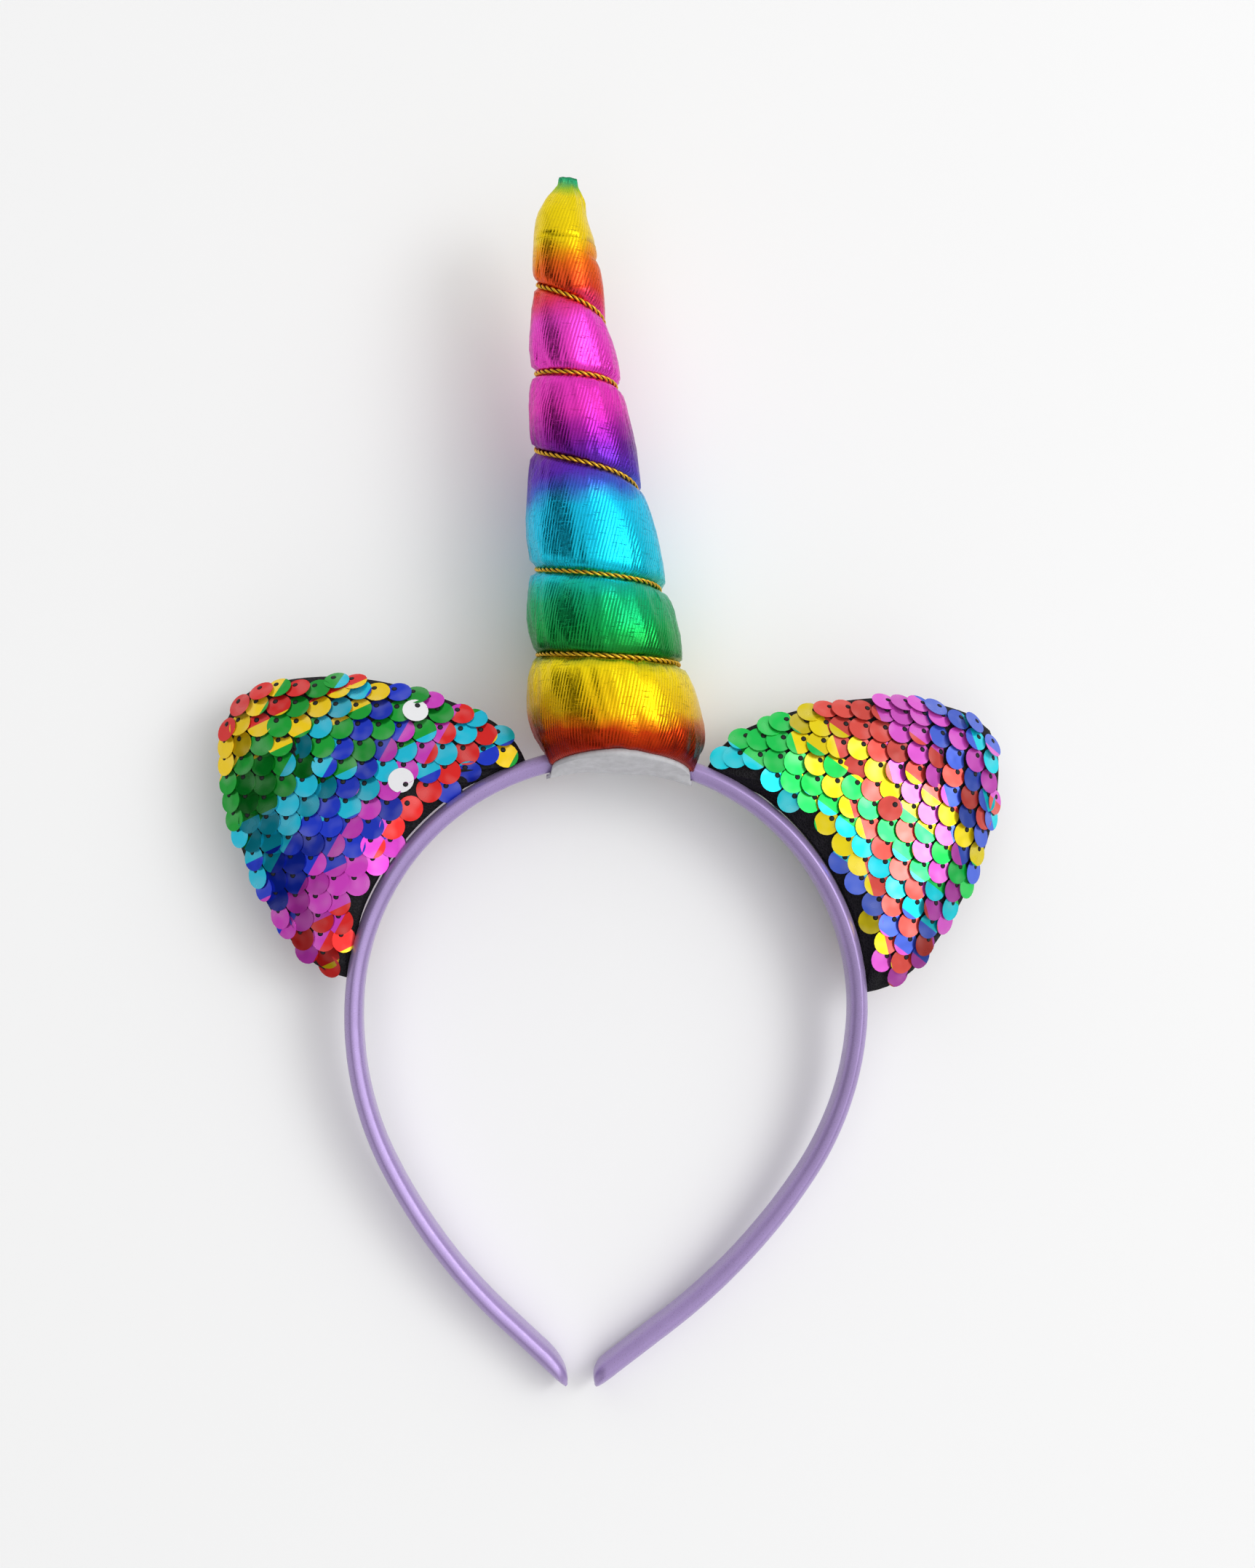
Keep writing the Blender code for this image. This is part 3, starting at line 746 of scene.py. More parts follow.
def felt_material(colour):
    """Pressed felt: a matted, fibrous surface with no shine."""
    shades = Shades("pale felt")
    place = shades.object_place()
    fibres = shades.noise(shades.scaled(place, (2600.0, 900.0, 2600.0)), 1.0, 5.0, 0.7)
    clumps = shades.noise(place, 420.0, 4.0, 0.6)
    dull = tuple(0.86 * c for c in colour)
    pale = tuple(min(1.0, 1.1 * c) for c in colour)
    shade = shades.mix(shades.spread(clumps, 0.3, 0.7), dull, pale)
    shades.join(shade, shades.shader.inputs["Base Color"])
    under = shades.bump(clumps, 0.0003, 0.5)
    shades.bump(fibres, 0.0001, 0.7, under)
    shades.set(roughness=0.95, sheen_weight=0.3, sheen_roughness=0.6)
    return shades.material


def ground_material(colour):
    """Black knitted mesh under the sequins."""
    shades = Shades("black mesh")
    place = shades.object_place()
    net = shades.add("ShaderNodeTexVoronoi", feature="DISTANCE_TO_EDGE")
    net.inputs["Scale"].default_value = 1500.0
    shades.join(place, net.inputs["Vector"])
    thread = shades.spread(net.outputs["Distance"], 0.04, 0.22)
    shade = shades.mix(thread, (0.012, 0.011, 0.014), tuple(colour))
    shades.join(shade, shades.shader.inputs["Base Color"])
    shades.bump(thread, -0.00015, 0.8)
    shades.set(roughness=0.65, specular_ior_level=0.25)
    return shades.material


def film_material(side):
    """Sequin film: the printed rainbow on a metallic face, plain white on its back, in each ear's painted
    light and shade.
    """
    shades = Shades("sequin film, " + side + " ear")
    place = shades.math("FRACT", shades.value("rainbow"))
    # Each ear takes its own copy of the colours: painted light on the right ear, painted shade on the left.
    colour = shades.ramp(place, [(row["start"], row[side]) for row in FILM_COLOURS], "CONSTANT")
    painted_dark_reflection = shades.value("painted_dark_reflection")
    # Painted dark reflection: some sequins are darkened towards black, as if they mirrored something dark.
    dark = shades.mix(0.8, colour, (0.0, 0.0, 0.0))
    colour = shades.mix(shades.spread(painted_dark_reflection, 0.0, 1.0, 0.0, 0.75), colour, dark)
    clouds = shades.noise(shades.object_place(), 200.0, 1.0)
    pale = shades.mix(0.35, colour, (1.0, 1.0, 1.0))
    colour = shades.mix(shades.spread(clouds, 0.45, 0.80, 0.0, 0.30), colour, pale)
    white = shades.math("MAXIMUM", shades.value("back"), shades.value("turned_over"))
    colour = shades.mix(white, colour, (0.80, 0.80, 0.82))
    shades.join(colour, shades.shader.inputs["Base Color"])
    shades.join(shades.spread(white, 0.0, 1.0, 0.72, 0.0), shades.shader.inputs["Metallic"])
    shades.join(shades.spread(clouds, 0.3, 0.7, 0.18, 0.28), shades.shader.inputs["Roughness"])
    shades.bump(clouds, 0.0006, 0.20)
    shades.set(coat_weight=0.08, coat_roughness=0.10)
    return shades.material


def plain_material(name, colour, roughness):
    shades = Shades(name)
    grain = shades.noise(shades.object_place(), 900.0, 3.0)
    shade = shades.mix(shades.spread(grain, 0.3, 0.7), tuple(0.97 * c for c in colour), tuple(colour))
    shades.join(shade, shades.shader.inputs["Base Color"])
    shades.set(roughness=roughness)
    return shades.material


# Pieces

def band_profile():
    """Half of the band's section and its mirror image: (out, z) with a soft ridge along each edge."""
    half, deep = BAND_THICKNESS / 2, BAND_DEPTH / 2
    corners = [
        (0.00, 0.00), (0.00, 0.36), (0.02, 0.62), (0.10, 0.80), (0.26, 0.905), (0.42, 0.965), (0.52, 0.995),
        (0.60, 0.985), (0.72, 0.90), (0.86, 0.74), (0.95, 0.54), (0.99, 0.30), (1.00, 0.00),
    ]
    upper = [(2 * half * out, deep * z) for out, z in corners]
    lower = [(out, -z) for out, z in upper[-2:0:-1]]
    return upper + lower


def make_band(looks):
    """The band under its ribbon, with a lapped edge along each side and faint wrinkles."""
    stations = arm_stations(BAND_STEP)
    total = stations[-1][2]
    profile = band_profile()
    around = len(profile)
    girth = [0.0]
    for a, b in zip(profile, profile[1:] + profile[:1]):
        girth.append(girth[-1] + math.dist(a, b))
    points, rings, lengths = [], 0, []
    for side, foot in (("left", -1), ("right", 1)):
        taper = FEET[side] * BAND_THICKNESS
        arm = []
        for point, heading, distance in stations:
            left_over = total - distance
            near_tip = min(1.0, max(left_over, FOOT_BLUNT * taper) / taper)
            thin = math.sqrt(1 - (1 - near_tip) ** 2)
            near_end = min(1.0, max(left_over, FOOT_BLUNT * taper) / (BAND_DEPTH / 2))
            narrow = math.sqrt(1 - (1 - near_end) ** 2)
            normal = Vector((-math.sin(heading), math.cos(heading)))
            ring = []
            for k, (out, z) in enumerate(profile):
                place = Vector((foot * distance, girth[k] * 1.5))
                crease = noise.noise(Vector((place.x * 420, place.y * 60, 3.1)))
                slow = noise.noise(Vector((place.x * 95, place.y * 160, 8.7)))
                relief = looks.wrinkle * (0.55 * crease + 0.9 * slow)
                # The ribbon of the inner face laps over the one that is folded round the edges.
                lap = looks.lap * blend_between(-0.0006, -0.0002, -abs(out - 0.22 * BAND_THICKNESS))
                inner = looks.lap * (1 - blend_between(0.20 * BAND_THICKNESS, 0.27 * BAND_THICKNESS, out))
                grown = out + (relief if out > BAND_THICKNESS / 2 else -relief) * 0.5
                grown_z = z * (1 + (relief + lap * 0.6 + inner * 0.5) / (BAND_DEPTH / 2))
                spot = point + normal * (BAND_THICKNESS - (BAND_THICKNESS - grown) * thin)
                sway = FOOT_SWAY * blend_between(LOOP_RADIUS, 3.0 * LOOP_RADIUS, -spot.y)
                ring.append((foot * spot.x + sway, spot.y, grown_z * narrow))
            arm.append((ring, foot * distance))
        if side == "left":
            arm = arm[:0:-1]
        for ring, length in arm:
            points += ring
            lengths.append(length)
            rings += 1
    faces = tube_faces(rings, around)
    uvs = []
    for ring in range(rings - 1):
        for k in range(around):
            uvs.append((
                (lengths[ring], girth[k]), (lengths[ring], girth[k + 1]),
                (lengths[ring + 1], girth[k + 1]), (lengths[ring + 1], girth[k]),
            ))
    for ring in (0, rings - 1):
        faces.append(tuple(ring * around + k for k in range(around)))
        uvs.append(tuple((lengths[ring], girth[k]) for k in range(around)))
    build = build_mesh(points, faces, uvs)
    return finish_mesh("band_ribbon", build, satin_material(looks.ribbon))


def cloth_place(height, turned):
    """Where a point of the horn lies on the unrolled cloth. turned is -0.5 to 0.5 round from its back."""
    spread = 2 * math.pi * turned * HORN_RADIUS / HORN_APEX
    reach = HORN_APEX - height
    return (reach * math.sin(spread), -reach * math.cos(spread))


def lift_to_floor(point):
    """Lifts a point of the headband's frame that is below the floor."""
    rest_level = -STAND_PLACE[2]
    level = point.y * math.sin(STAND_TILT) + point.z * math.cos(STAND_TILT)
    if level < rest_level:
        point.z = (rest_level - point.y * math.sin(STAND_TILT)) / math.cos(STAND_TILT)


def cloth_relief(height, turn, looks):
    """How far folds and lumps move the cloth outwards at this place."""
    angle = column_angle(turn)
    base = HORN_RADIUS * smooth(HORN_OUTLINE, "height", "radius", height / HORN_HEIGHT)
    round_x, round_z = math.cos(angle) * base, math.sin(angle) * base
    lumps = noise.noise(Vector((round_x * 62, height * 62, round_z * 62)))
    lumps += 0.5 * noise.noise(Vector((round_x * 150, height * 150, round_z * 150 + 4)))
    crossings = [(level, groove_share(near)) for near, level in groove_crossings(turn)]
    away = min(abs(height - level) + 0.02 * (1 - share) for level, share in crossings)
    folds = noise.noise(Vector((round_x * 430, height * 60, round_z * 430 + 9)))
    folds += 0.6 * noise.noise(Vector((round_x * 800, height * 120, round_z * 800 + 2)))
    beside = blend_between(0.0007, 0.0019, away) * math.exp(-away / 0.0042)
    above = max(0.0, height - horn_bottom(angle))
    gathers = abs(noise.noise(Vector((round_x * 300, height * 70, round_z * 300 + 5)))) * 2.2 - 0.6
    gathers += 0.5 * noise.noise(Vector((round_x * 900, height * 160, round_z * 900 + 1)))
    low = blend_between(0.0, 0.0025, above) * math.exp(-above / 0.0062)
    crease = max(share * math.exp(-((height - level) / CREASE_WIDTH) ** 2) for level, share in crossings)
    nub = blend_between(0.925, 0.965, height / HORN_HEIGHT)
    tip_folds = noise.noise(Vector((math.cos(angle) * 3.2, height * 90, math.sin(angle) * 3.2 + 6)))
    steady = (1 - nub) * blend_between(0.0, 0.004, above) * blend_between(0.0006, 0.003, away)
    return (
        looks.lumps * lumps * steady
        + looks.puckers * folds * beside * (1 - nub)
        + looks.gathers * gathers * low
        + 0.0006 * tip_folds * nub
        - CREASE_DEPTH * crease
    )


def horn_cloth_mesh(looks):
    rows = len(HORN_ROWS)
    first = math.floor((GROOVE[0]["turn"] - 2) * HORN_COLUMNS)
    last = math.ceil((GROOVE[-1]["turn"] + 1) * HORN_COLUMNS)
    points, heights, along, held = [], [], [], []

    def place(height, turn, radius, flatness=1.0, hold=0.0):
        point = horn_point(height, column_angle(turn), radius, flatness)
        heights.append(height / HORN_HEIGHT)
        slant = horn_lean(height) * blend_between(0.12, 0.45, height / HORN_HEIGHT)
        along.append((height + (point.x - horn_centre(height)) * slant) / HORN_HEIGHT)
        held.append(hold)
        points.append(point)

    for column in range(first, last + HORN_COLUMNS + 1):
        turn = column / HORN_COLUMNS
        upper, lower = groove_height(turn), groove_height(turn + 1)
        for row, share in enumerate(HORN_ROWS):
            height = upper + (lower - upper) * share
            radius = horn_radius(height, turn) + cloth_relief(height, turn, looks)
            place(height, turn, radius, hold=1.0 if row == 0 else 0.0)
    faces, uvs = [], []

    def turned(column):
        return (column / HORN_COLUMNS - 0.75) % 1 - 0.5

    def add_face(corners, levels, column):
        start = turned(column)
        end = start + 1 / HORN_COLUMNS
        faces.append(corners)
        uvs.append(tuple(
            cloth_place(level * HORN_HEIGHT, end if k in (1, 2) else start) for k, level in enumerate(levels)
        ))

    for column in range(last - first):
        for row in range(rows):
            a = column * rows + row
            below = a + 1 if row < rows - 1 else a + rows * HORN_COLUMNS - rows + 1
            corners = (a, a + rows, below + rows, below)
            add_face(corners, [heights[c] for c in corners], first + column)

    ring = [column * rows for column in range(HORN_COLUMNS)]
    for share in TIP_RINGS[1:]:
        height = share * HORN_HEIGHT
        past_shoulder = max(0.0, (share - SHOULDER) / (1 - SHOULDER))
        flatness = 1 - (1 - NUB_FLATNESS) * past_shoulder
        new = []
        for column in range(HORN_COLUMNS):
            turn = (first + column) / HORN_COLUMNS
            radius = HORN_RADIUS * smooth(HORN_OUTLINE, "height", "radius", share)
            radius += cloth_relief(height, turn, looks)
            new.append(len(points))
            place(height, turn, radius, flatness, hold=1.0)
        for k in range(HORN_COLUMNS):
            corners = (ring[k - 1], ring[k], new[k], new[k - 1])
            add_face(corners, [heights[c] for c in corners], first + k - 1)
        ring = new
    middle = len(points)
    points.append(Vector((horn_centre(HORN_HEIGHT), HORN_HEIGHT - 0.0006, 0.0)))
    heights.append(1.0)
    along.append(1.0)
    held.append(1.0)
    for k in range(HORN_COLUMNS):
        faces.append((ring[k - 1], ring[k], middle))
        uvs.append((cloth_place(HORN_HEIGHT, 0.0),) * 3)

    start = (last - first) * rows
    ring = [start + column * rows for column in range(HORN_COLUMNS)]
    for share in UNDERSIDE_RINGS:
        new = []
        for column in range(HORN_COLUMNS):
            angle = column_angle((last + column) / HORN_COLUMNS)
            x = HORN_OFFSET + share * PAD_RADIUS * math.cos(angle)
            z = share * PAD_RADIUS * math.sin(angle)
            new.append(len(points))
            points.append(Vector((x, under_horn(x, z), z)))
            heights.append(0.0)
            along.append(0.0)
            held.append(1.0)
        for k in range(HORN_COLUMNS):
            faces.append((ring[k], ring[k - 1], new[k - 1], new[k]))
            uvs.append(tuple(points[c].xz for c in faces[-1]))
        ring = new
    points.append(Vector((HORN_OFFSET, under_horn(HORN_OFFSET, 0.0), 0.0)))
    heights.append(0.0)
    along.append(0.0)
    held.append(1.0)
    for k in range(HORN_COLUMNS):
        faces.append((ring[k], ring[k - 1], len(points) - 1))
        uvs.append(tuple(points[c].xz for c in faces[-1]))
    for point in points:
        lift_to_floor(point)
    return points, faces, uvs, along, held


def make_horn(looks):
    points, faces, uvs, along, held = horn_cloth_mesh(looks)
    build = build_mesh(points, faces, uvs, {"height_share": along, "held": held})
    horn = finish_mesh("horn_cloth", build, foil_material(looks.rib_pitch))
    swell(horn, HORN_SWELL)
    return horn


def cord_path():
    """Points along the middle of the cord, in the headband's frame."""
    path = []
    first, last = GROOVE[0]["turn"], GROOVE[-1]["turn"]
    count = math.ceil((last - first) * 200)
    for k in range(count + 1):
        turn = first + (last - first) * k / count
        height = groove_height(turn)
        angle = column_angle(turn)
        proud = STRAND_RADIUS + STRAND_OFFSET - CREASE_DEPTH
        path.append(horn_point(height, angle, horn_radius(height, turn) + proud))
    return path


def new_tree(name, inputs):
    """A Geometry Nodes tree with a geometry input and these named inputs: (name, socket kind, default)."""
    tree = bpy.data.node_groups.new(name, "GeometryNodeTree")
    tree.interface.new_socket("Geometry", in_out="INPUT", socket_type="NodeSocketGeometry")
    for label, kind, default in inputs:
        socket = tree.interface.new_socket(label, in_out="INPUT", socket_type="NodeSocket" + kind)
        if default is not None:
            socket.default_value = default
    tree.interface.new_socket("Geometry", in_out="OUTPUT", socket_type="NodeSocketGeometry")
    return tree


class Steps:
    """Adds and joins the nodes of a Geometry Nodes tree."""

    def __init__(self, tree):
        self.tree = tree
        self.source = tree.nodes.new("NodeGroupInput")
        self.sink = tree.nodes.new("NodeGroupOutput")
        self.sink.location = (2400, 0)
        self.count = 0

    def add(self, kind, inputs=None, **settings):
        """Adds a node. inputs gives its sockets by name or index: a number, or another node's output."""
        node = self.tree.nodes.new(kind)
        self.count += 1
        node.location = (200 * (self.count % 12), -260 * (self.count // 12))
        for name, value in settings.items():
            setattr(node, name, value)
        for name, value in (inputs or {}).items():
            socket = node.inputs[name]
            if isinstance(value, bpy.types.NodeSocket):
                self.tree.links.new(value, socket)
            else:
                socket.default_value = value
        return node

    def math(self, operation, *values):
        return self.add("ShaderNodeMath", dict(enumerate(values)), operation=operation).outputs[0]

    def vector(self, operation, *values, output=0):
        return self.add("ShaderNodeVectorMath", dict(enumerate(values)), operation=operation).outputs[output]

    def scaled(self, vector, scale):
        return self.add("ShaderNodeVectorMath", {0: vector, "Scale": scale}, operation="SCALE").outputs[0]

    def store(self, geometry, name, value, kind="FLOAT", domain="POINT"):
        values = {"Geometry": geometry, "Name": name, "Value": value}
        return self.add("GeometryNodeStoreNamedAttribute", values, data_type=kind, domain=domain).outputs[0]

    def named(self, name, kind="FLOAT"):
        return self.add("GeometryNodeInputNamedAttribute", {"Name": name}, data_type=kind).outputs[0]

    def paint(self, geometry, material):
        values = {"Geometry": geometry, "Material": material}
        return self.add("GeometryNodeSetMaterial", values).outputs[0]

    def end(self, geometry):
        self.tree.links.new(geometry, self.sink.inputs[0])


def set_inputs(modifier, values):
    """Sets a modifier's named inputs by the sockets' identifiers."""
    for item in modifier.node_group.interface.items_tree:
        if item.item_type == "SOCKET" and item.in_out == "INPUT" and item.name in values:
            modifier[item.identifier] = values[item.name]


def strand_tree():
    tree = new_tree("twisted cord", [
        ("Step", "Float", 0.0003), ("Twist", "Float", 0.0043), ("Offset", "Float", 0.0004),
        ("Strand Radius", "Float", 0.00045), ("Material", "Material", None),
    ])
    steps = Steps(tree)
    source = steps.source.outputs
    line = steps.add("GeometryNodeResampleCurve", {"Curve": source["Geometry"], "Length": source["Step"]},
                     mode="LENGTH")
    along = steps.add("GeometryNodeSplineParameter").outputs["Length"]
    turns = steps.math("DIVIDE", along, source["Twist"])
    angle = steps.math("MULTIPLY", turns, 2 * math.pi)
    normal = steps.add("GeometryNodeInputNormal").outputs[0]
    tangent = steps.add("GeometryNodeInputTangent").outputs[0]
    across = steps.vector("CROSS_PRODUCT", tangent, normal)
    profile = steps.add("GeometryNodeCurvePrimitiveCircle", {
        "Resolution": 9, "Radius": source["Strand Radius"],
    })
    joined = steps.add("GeometryNodeJoinGeometry")
    for phase in (0.0, math.pi):
        turned = steps.math("ADD", angle, phase)
        shift = steps.vector("ADD",
                             steps.scaled(normal, steps.math("COSINE", turned)),
                             steps.scaled(across, steps.math("SINE", turned)))
        moved = steps.add("GeometryNodeSetPosition", {
            "Geometry": line.outputs[0], "Offset": steps.scaled(shift, source["Offset"]),
        })
        stored = steps.store(moved.outputs[0], "run", along)
        swept = steps.add("GeometryNodeCurveToMesh", {
            "Curve": stored, "Profile Curve": profile.outputs[0], "Fill Caps": True,
        })
        tree.links.new(swept.outputs[0], joined.inputs[0])
    real = steps.add("GeometryNodeRealizeInstances", {"Geometry": joined.outputs[0]})
    steps.end(steps.paint(real.outputs[0], source["Material"]))
    return tree


def make_cord(looks):
    """The two twisted strands, swept along the groove."""
    path = cord_path()
    line = bpy.data.curves.new("cord path", "CURVE")
    line.dimensions = "3D"
    spline = line.splines.new("POLY")
    spline.points.add(len(path) - 1)
    for point, place in zip(spline.points, path):
        point.co = (*(STAND @ place), 1.0)
    cord = bpy.data.objects.new("cord_strands", line)
    bpy.context.scene.collection.objects.link(cord)
    material = gold_material(looks.gold)
    twist = cord.modifiers.new("twist", "NODES")
    twist.node_group = strand_tree()
    set_inputs(twist, {
        "Step": looks.twist / 14, "Twist": looks.twist, "Offset": STRAND_OFFSET,
        "Strand Radius": STRAND_RADIUS, "Material": material,
    })
    cord = to_plain_mesh(cord)
    nearest = KDTree(len(path))
    for k, place in enumerate(path):
        nearest.insert(STAND @ place, k)
    nearest.balance()
    # Each point's painted shade: darker the nearer it lies to the cord's middle, where the strands meet.
    cleft = cord.data.attributes.new("cleft", "FLOAT", "POINT")
    for k, vertex in enumerate(cord.data.vertices):
        depth = nearest.find(vertex.co)[2] / (STRAND_OFFSET + STRAND_RADIUS)
        cleft.data[k].value = 1 - blend_between(0.35, 0.92, depth)
    cord.data.shade_smooth()
    return cord


def make_pad(looks):
    """The felt patch, flat on the head side, with a flap up the front and one up the back."""
    end = math.sqrt(PAD_RADIUS**2 - CHANNEL_HALF**2)
    columns, rows = 56, 12
    grid = []
    for k in range(columns + 1):
        x = -end * math.cos(math.pi * k / columns)
        rim = math.sqrt(max(PAD_RADIUS**2 - x**2, CHANNEL_HALF**2))
        flap = [CHANNEL_HALF + (rim - CHANNEL_HALF) * row / rows for row in range(rows + 1)]
        middle = [CHANNEL_HALF * share for share in (-0.66, -0.33, 0.0, 0.33, 0.66)]
        line = []
        for z in [-z for z in flap[::-1]] + middle + flap:
            at_end = k in (0, columns)
            across = math.copysign(math.sqrt(PAD_RADIUS**2 - z**2), x) if at_end else x
            line.append((HORN_OFFSET + across, z))
        grid.append(line)
    width = len(grid[0])
    points = []
    for height, way in ((pad_top, 0.0), (pad_bottom, 1.0)):
        for line in grid:
            for x, z in line:
                rough = noise.noise(Vector((x * 700, z * 700, 2.0 + way)))
                rough += 0.6 * noise.noise(Vector((x * 1500, z * 1500, 5.0 + way)))
                points.append((x, height(x, z) - 0.00008 * way * (1 + rough), z))
    half = len(points) // 2
    faces = []
    for k in range(columns):
        for row in range(width - 1):
            a = k * width + row
            quad = (a, a + 1, a + width + 1, a + width)
            faces.append(quad)
            faces.append(tuple(half + corner for corner in quad[::-1]))
    edge = [k * width for k in range(columns + 1)]
    edge += [columns * width + row for row in range(1, width)]
    edge += [k * width + width - 1 for k in range(columns - 1, -1, -1)]
    edge += list(range(width - 2, 0, -1))
    for a, b in zip(edge, edge[1:] + edge[:1]):
        faces.append((a, b, half + b, half + a))
    return finish_mesh("pad_felt", build_mesh(points, faces), felt_material(looks.felt))


def ear_outline():
    """Points (along the ear from the loop's centre, across it, half thickness) all round one ear."""
    # The dressed ear is sewn right against the ribbon.
    seat = OUTER_RADIUS - 0.0001
    corner = EAR_OUTLINE[0]["width"] * EAR_WIDTH / 2
    reach = math.asin(corner / seat)
    foot = seat * math.cos(reach)
    tip = OUTER_RADIUS + EAR_HEIGHT
    outline = []
    for k in range(EAR_SEAT_POINTS + 1):
        share = k / EAR_SEAT_POINTS
        angle = reach * (2 * share - 1)
        half = (EAR_EDGE + (EAR_SEAT - EAR_EDGE) * math.sin(math.pi * share)) / 2
        outline.append((seat * math.cos(angle), seat * math.sin(angle), half))
    side = []
    for k in range(1, EAR_SIDE_POINTS):
        share = k / EAR_SIDE_POINTS
        rise = 1 - (1 - share) ** 1.35
        width = smooth(EAR_OUTLINE, "rise", "width", rise) * EAR_WIDTH / 2
        side.append((foot + (tip - foot) * rise, width, EAR_EDGE / 2))
    outline += side
    outline.append((tip, 0.0, EAR_EDGE / 2))
    outline += [(along, -across, half) for along, across, half in side[::-1]]
    return outline


def from_ear(side, along, across, z):
    """Takes a place on an ear to the headband's frame, drooping towards the tip."""
    lean = math.radians(EAR_ANGLES[side])
    beyond = max(0.0, math.hypot(along, across) - OUTER_RADIUS) / EAR_HEIGHT
    x = along * math.cos(lean) - across * math.sin(lean)
    y = along * math.sin(lean) + across * math.cos(lean)
    return Vector((EAR_MIRROR[side] * x, y - OUTER_RADIUS, z - EAR_DROOP * beyond**EAR_DROOP_CURVE))


def to_ear(side, x, y):
    """(along, across) on an ear of a place in the headband's frame."""
    lean = math.radians(EAR_ANGLES[side])
    x, y = EAR_MIRROR[side] * x, y + OUTER_RADIUS
    return x * math.cos(lean) + y * math.sin(lean), -x * math.sin(lean) + y * math.cos(lean)


def ear_crown(share):
    return EAR_PUFF / 2 * (1 - min(1.0, share) ** EAR_RIM_CURVE) ** EAR_CROWN_CURVE


def make_cushion(side, material):
    """The padded ear under its sequins, swelled against its seam by a short cloth simulation."""
    outline = ear_outline()
    middle = OUTER_RADIUS + EAR_MIDDLE * EAR_HEIGHT
    points, held = [], []
    for face in (1, -1):
        for ring in EAR_RINGS:
            crown = CUSHION_SHARE * ear_crown(ring)
            for along, across, half in outline:
                thick = math.hypot(half * ring, crown)
                points.append(from_ear(side, middle + (along - middle) * ring, across * ring, face * thick))
                held.append(1.0 if ring == 1.0 else 0.0)
        points.append(from_ear(side, middle, 0.0, face * CUSHION_SHARE * EAR_PUFF / 2))
        held.append(0.0)
    count = len(outline)
    face_points = len(EAR_RINGS) * count + 1
    faces = []
    for start in (0, face_points):
        for ring in range(len(EAR_RINGS) - 1):
            for k in range(count):
                a = start + ring * count + k
                b = start + ring * count + (k + 1) % count
                faces.append((a, b, b + count, a + count))
        inner = start + (len(EAR_RINGS) - 1) * count
        for k in range(count):
            faces.append((inner + k, inner + (k + 1) % count, start + face_points - 1))
    for k in range(count):
        after = (k + 1) % count
        faces.append((k, after, face_points + after, face_points + k))
    build = build_mesh(points, faces, None, {"held": held})
    cushion = finish_mesh("ear_" + side + "_cushion", build, material)
    swell(cushion, EAR_SWELL)
    return cushion


def swell(cushion, cap):
    """Blows the cloth up against its held points, and lets no point move further than the cap."""
    held = cushion.vertex_groups.new(name="held")
    marks = cushion.data.attributes["held"].data
    rest = [vertex.co.copy() for vertex in cushion.data.vertices]
    for k in range(len(rest)):
        held.add([k], marks[k].value, "REPLACE")
    cloth = cushion.modifiers.new("swell", "CLOTH")
    settings = cloth.settings
    settings.quality = 6
    settings.mass = 0.2
    settings.tension_stiffness = 12
    settings.compression_stiffness = 8
    settings.shear_stiffness = 6
    settings.bending_stiffness = 0.4
    settings.shrink_min = -0.02
    settings.use_pressure = True
    settings.uniform_pressure_force = SWELL_PRESSURE
    settings.vertex_group_mass = "held"
    settings.effector_weights.gravity = 0.0
    cloth.collision_settings.use_collision = False
    scene = bpy.context.scene
    for step in range(1, 21):
        scene.frame_set(step)
    graph = bpy.context.evaluated_depsgraph_get()
    moved = [vertex.co.copy() for vertex in cushion.evaluated_get(graph).data.vertices]
    cushion.modifiers.remove(cloth)
    scene.frame_set(1)
    for vertex, start, end in zip(cushion.data.vertices, rest, moved):
        shift = end - start
        vertex.co = start + shift * min(1.0, cap / max(shift.length, 1e-9))
        vertex.co.z = max(vertex.co.z, min(start.z, FLOOR_ROOM))
    cushion.vertex_groups.clear()


def outline_reach(side_outline, middle, direction):
    """Distance from the ear's middle to its outline in this direction."""
    best = None
    for (a0, c0, _), (a1, c1, _) in zip(side_outline, side_outline[1:] + side_outline[:1]):
        ax, ay = a0 - middle, c0
        bx, by = a1 - middle, c1
        det = (bx - ax) * direction[1] - (by - ay) * direction[0]
        if abs(det) < 1e-12:
            continue
        reach = (bx * ay - by * ax) / det
        share = (direction[0] * ay - direction[1] * ax) / det
        if reach > 0 and -1e-9 <= share <= 1 + 1e-9:
            best = reach if best is None else min(best, reach)
    return best


def way_of(degrees):
    return Vector((math.cos(math.radians(degrees)), math.sin(math.radians(degrees))))


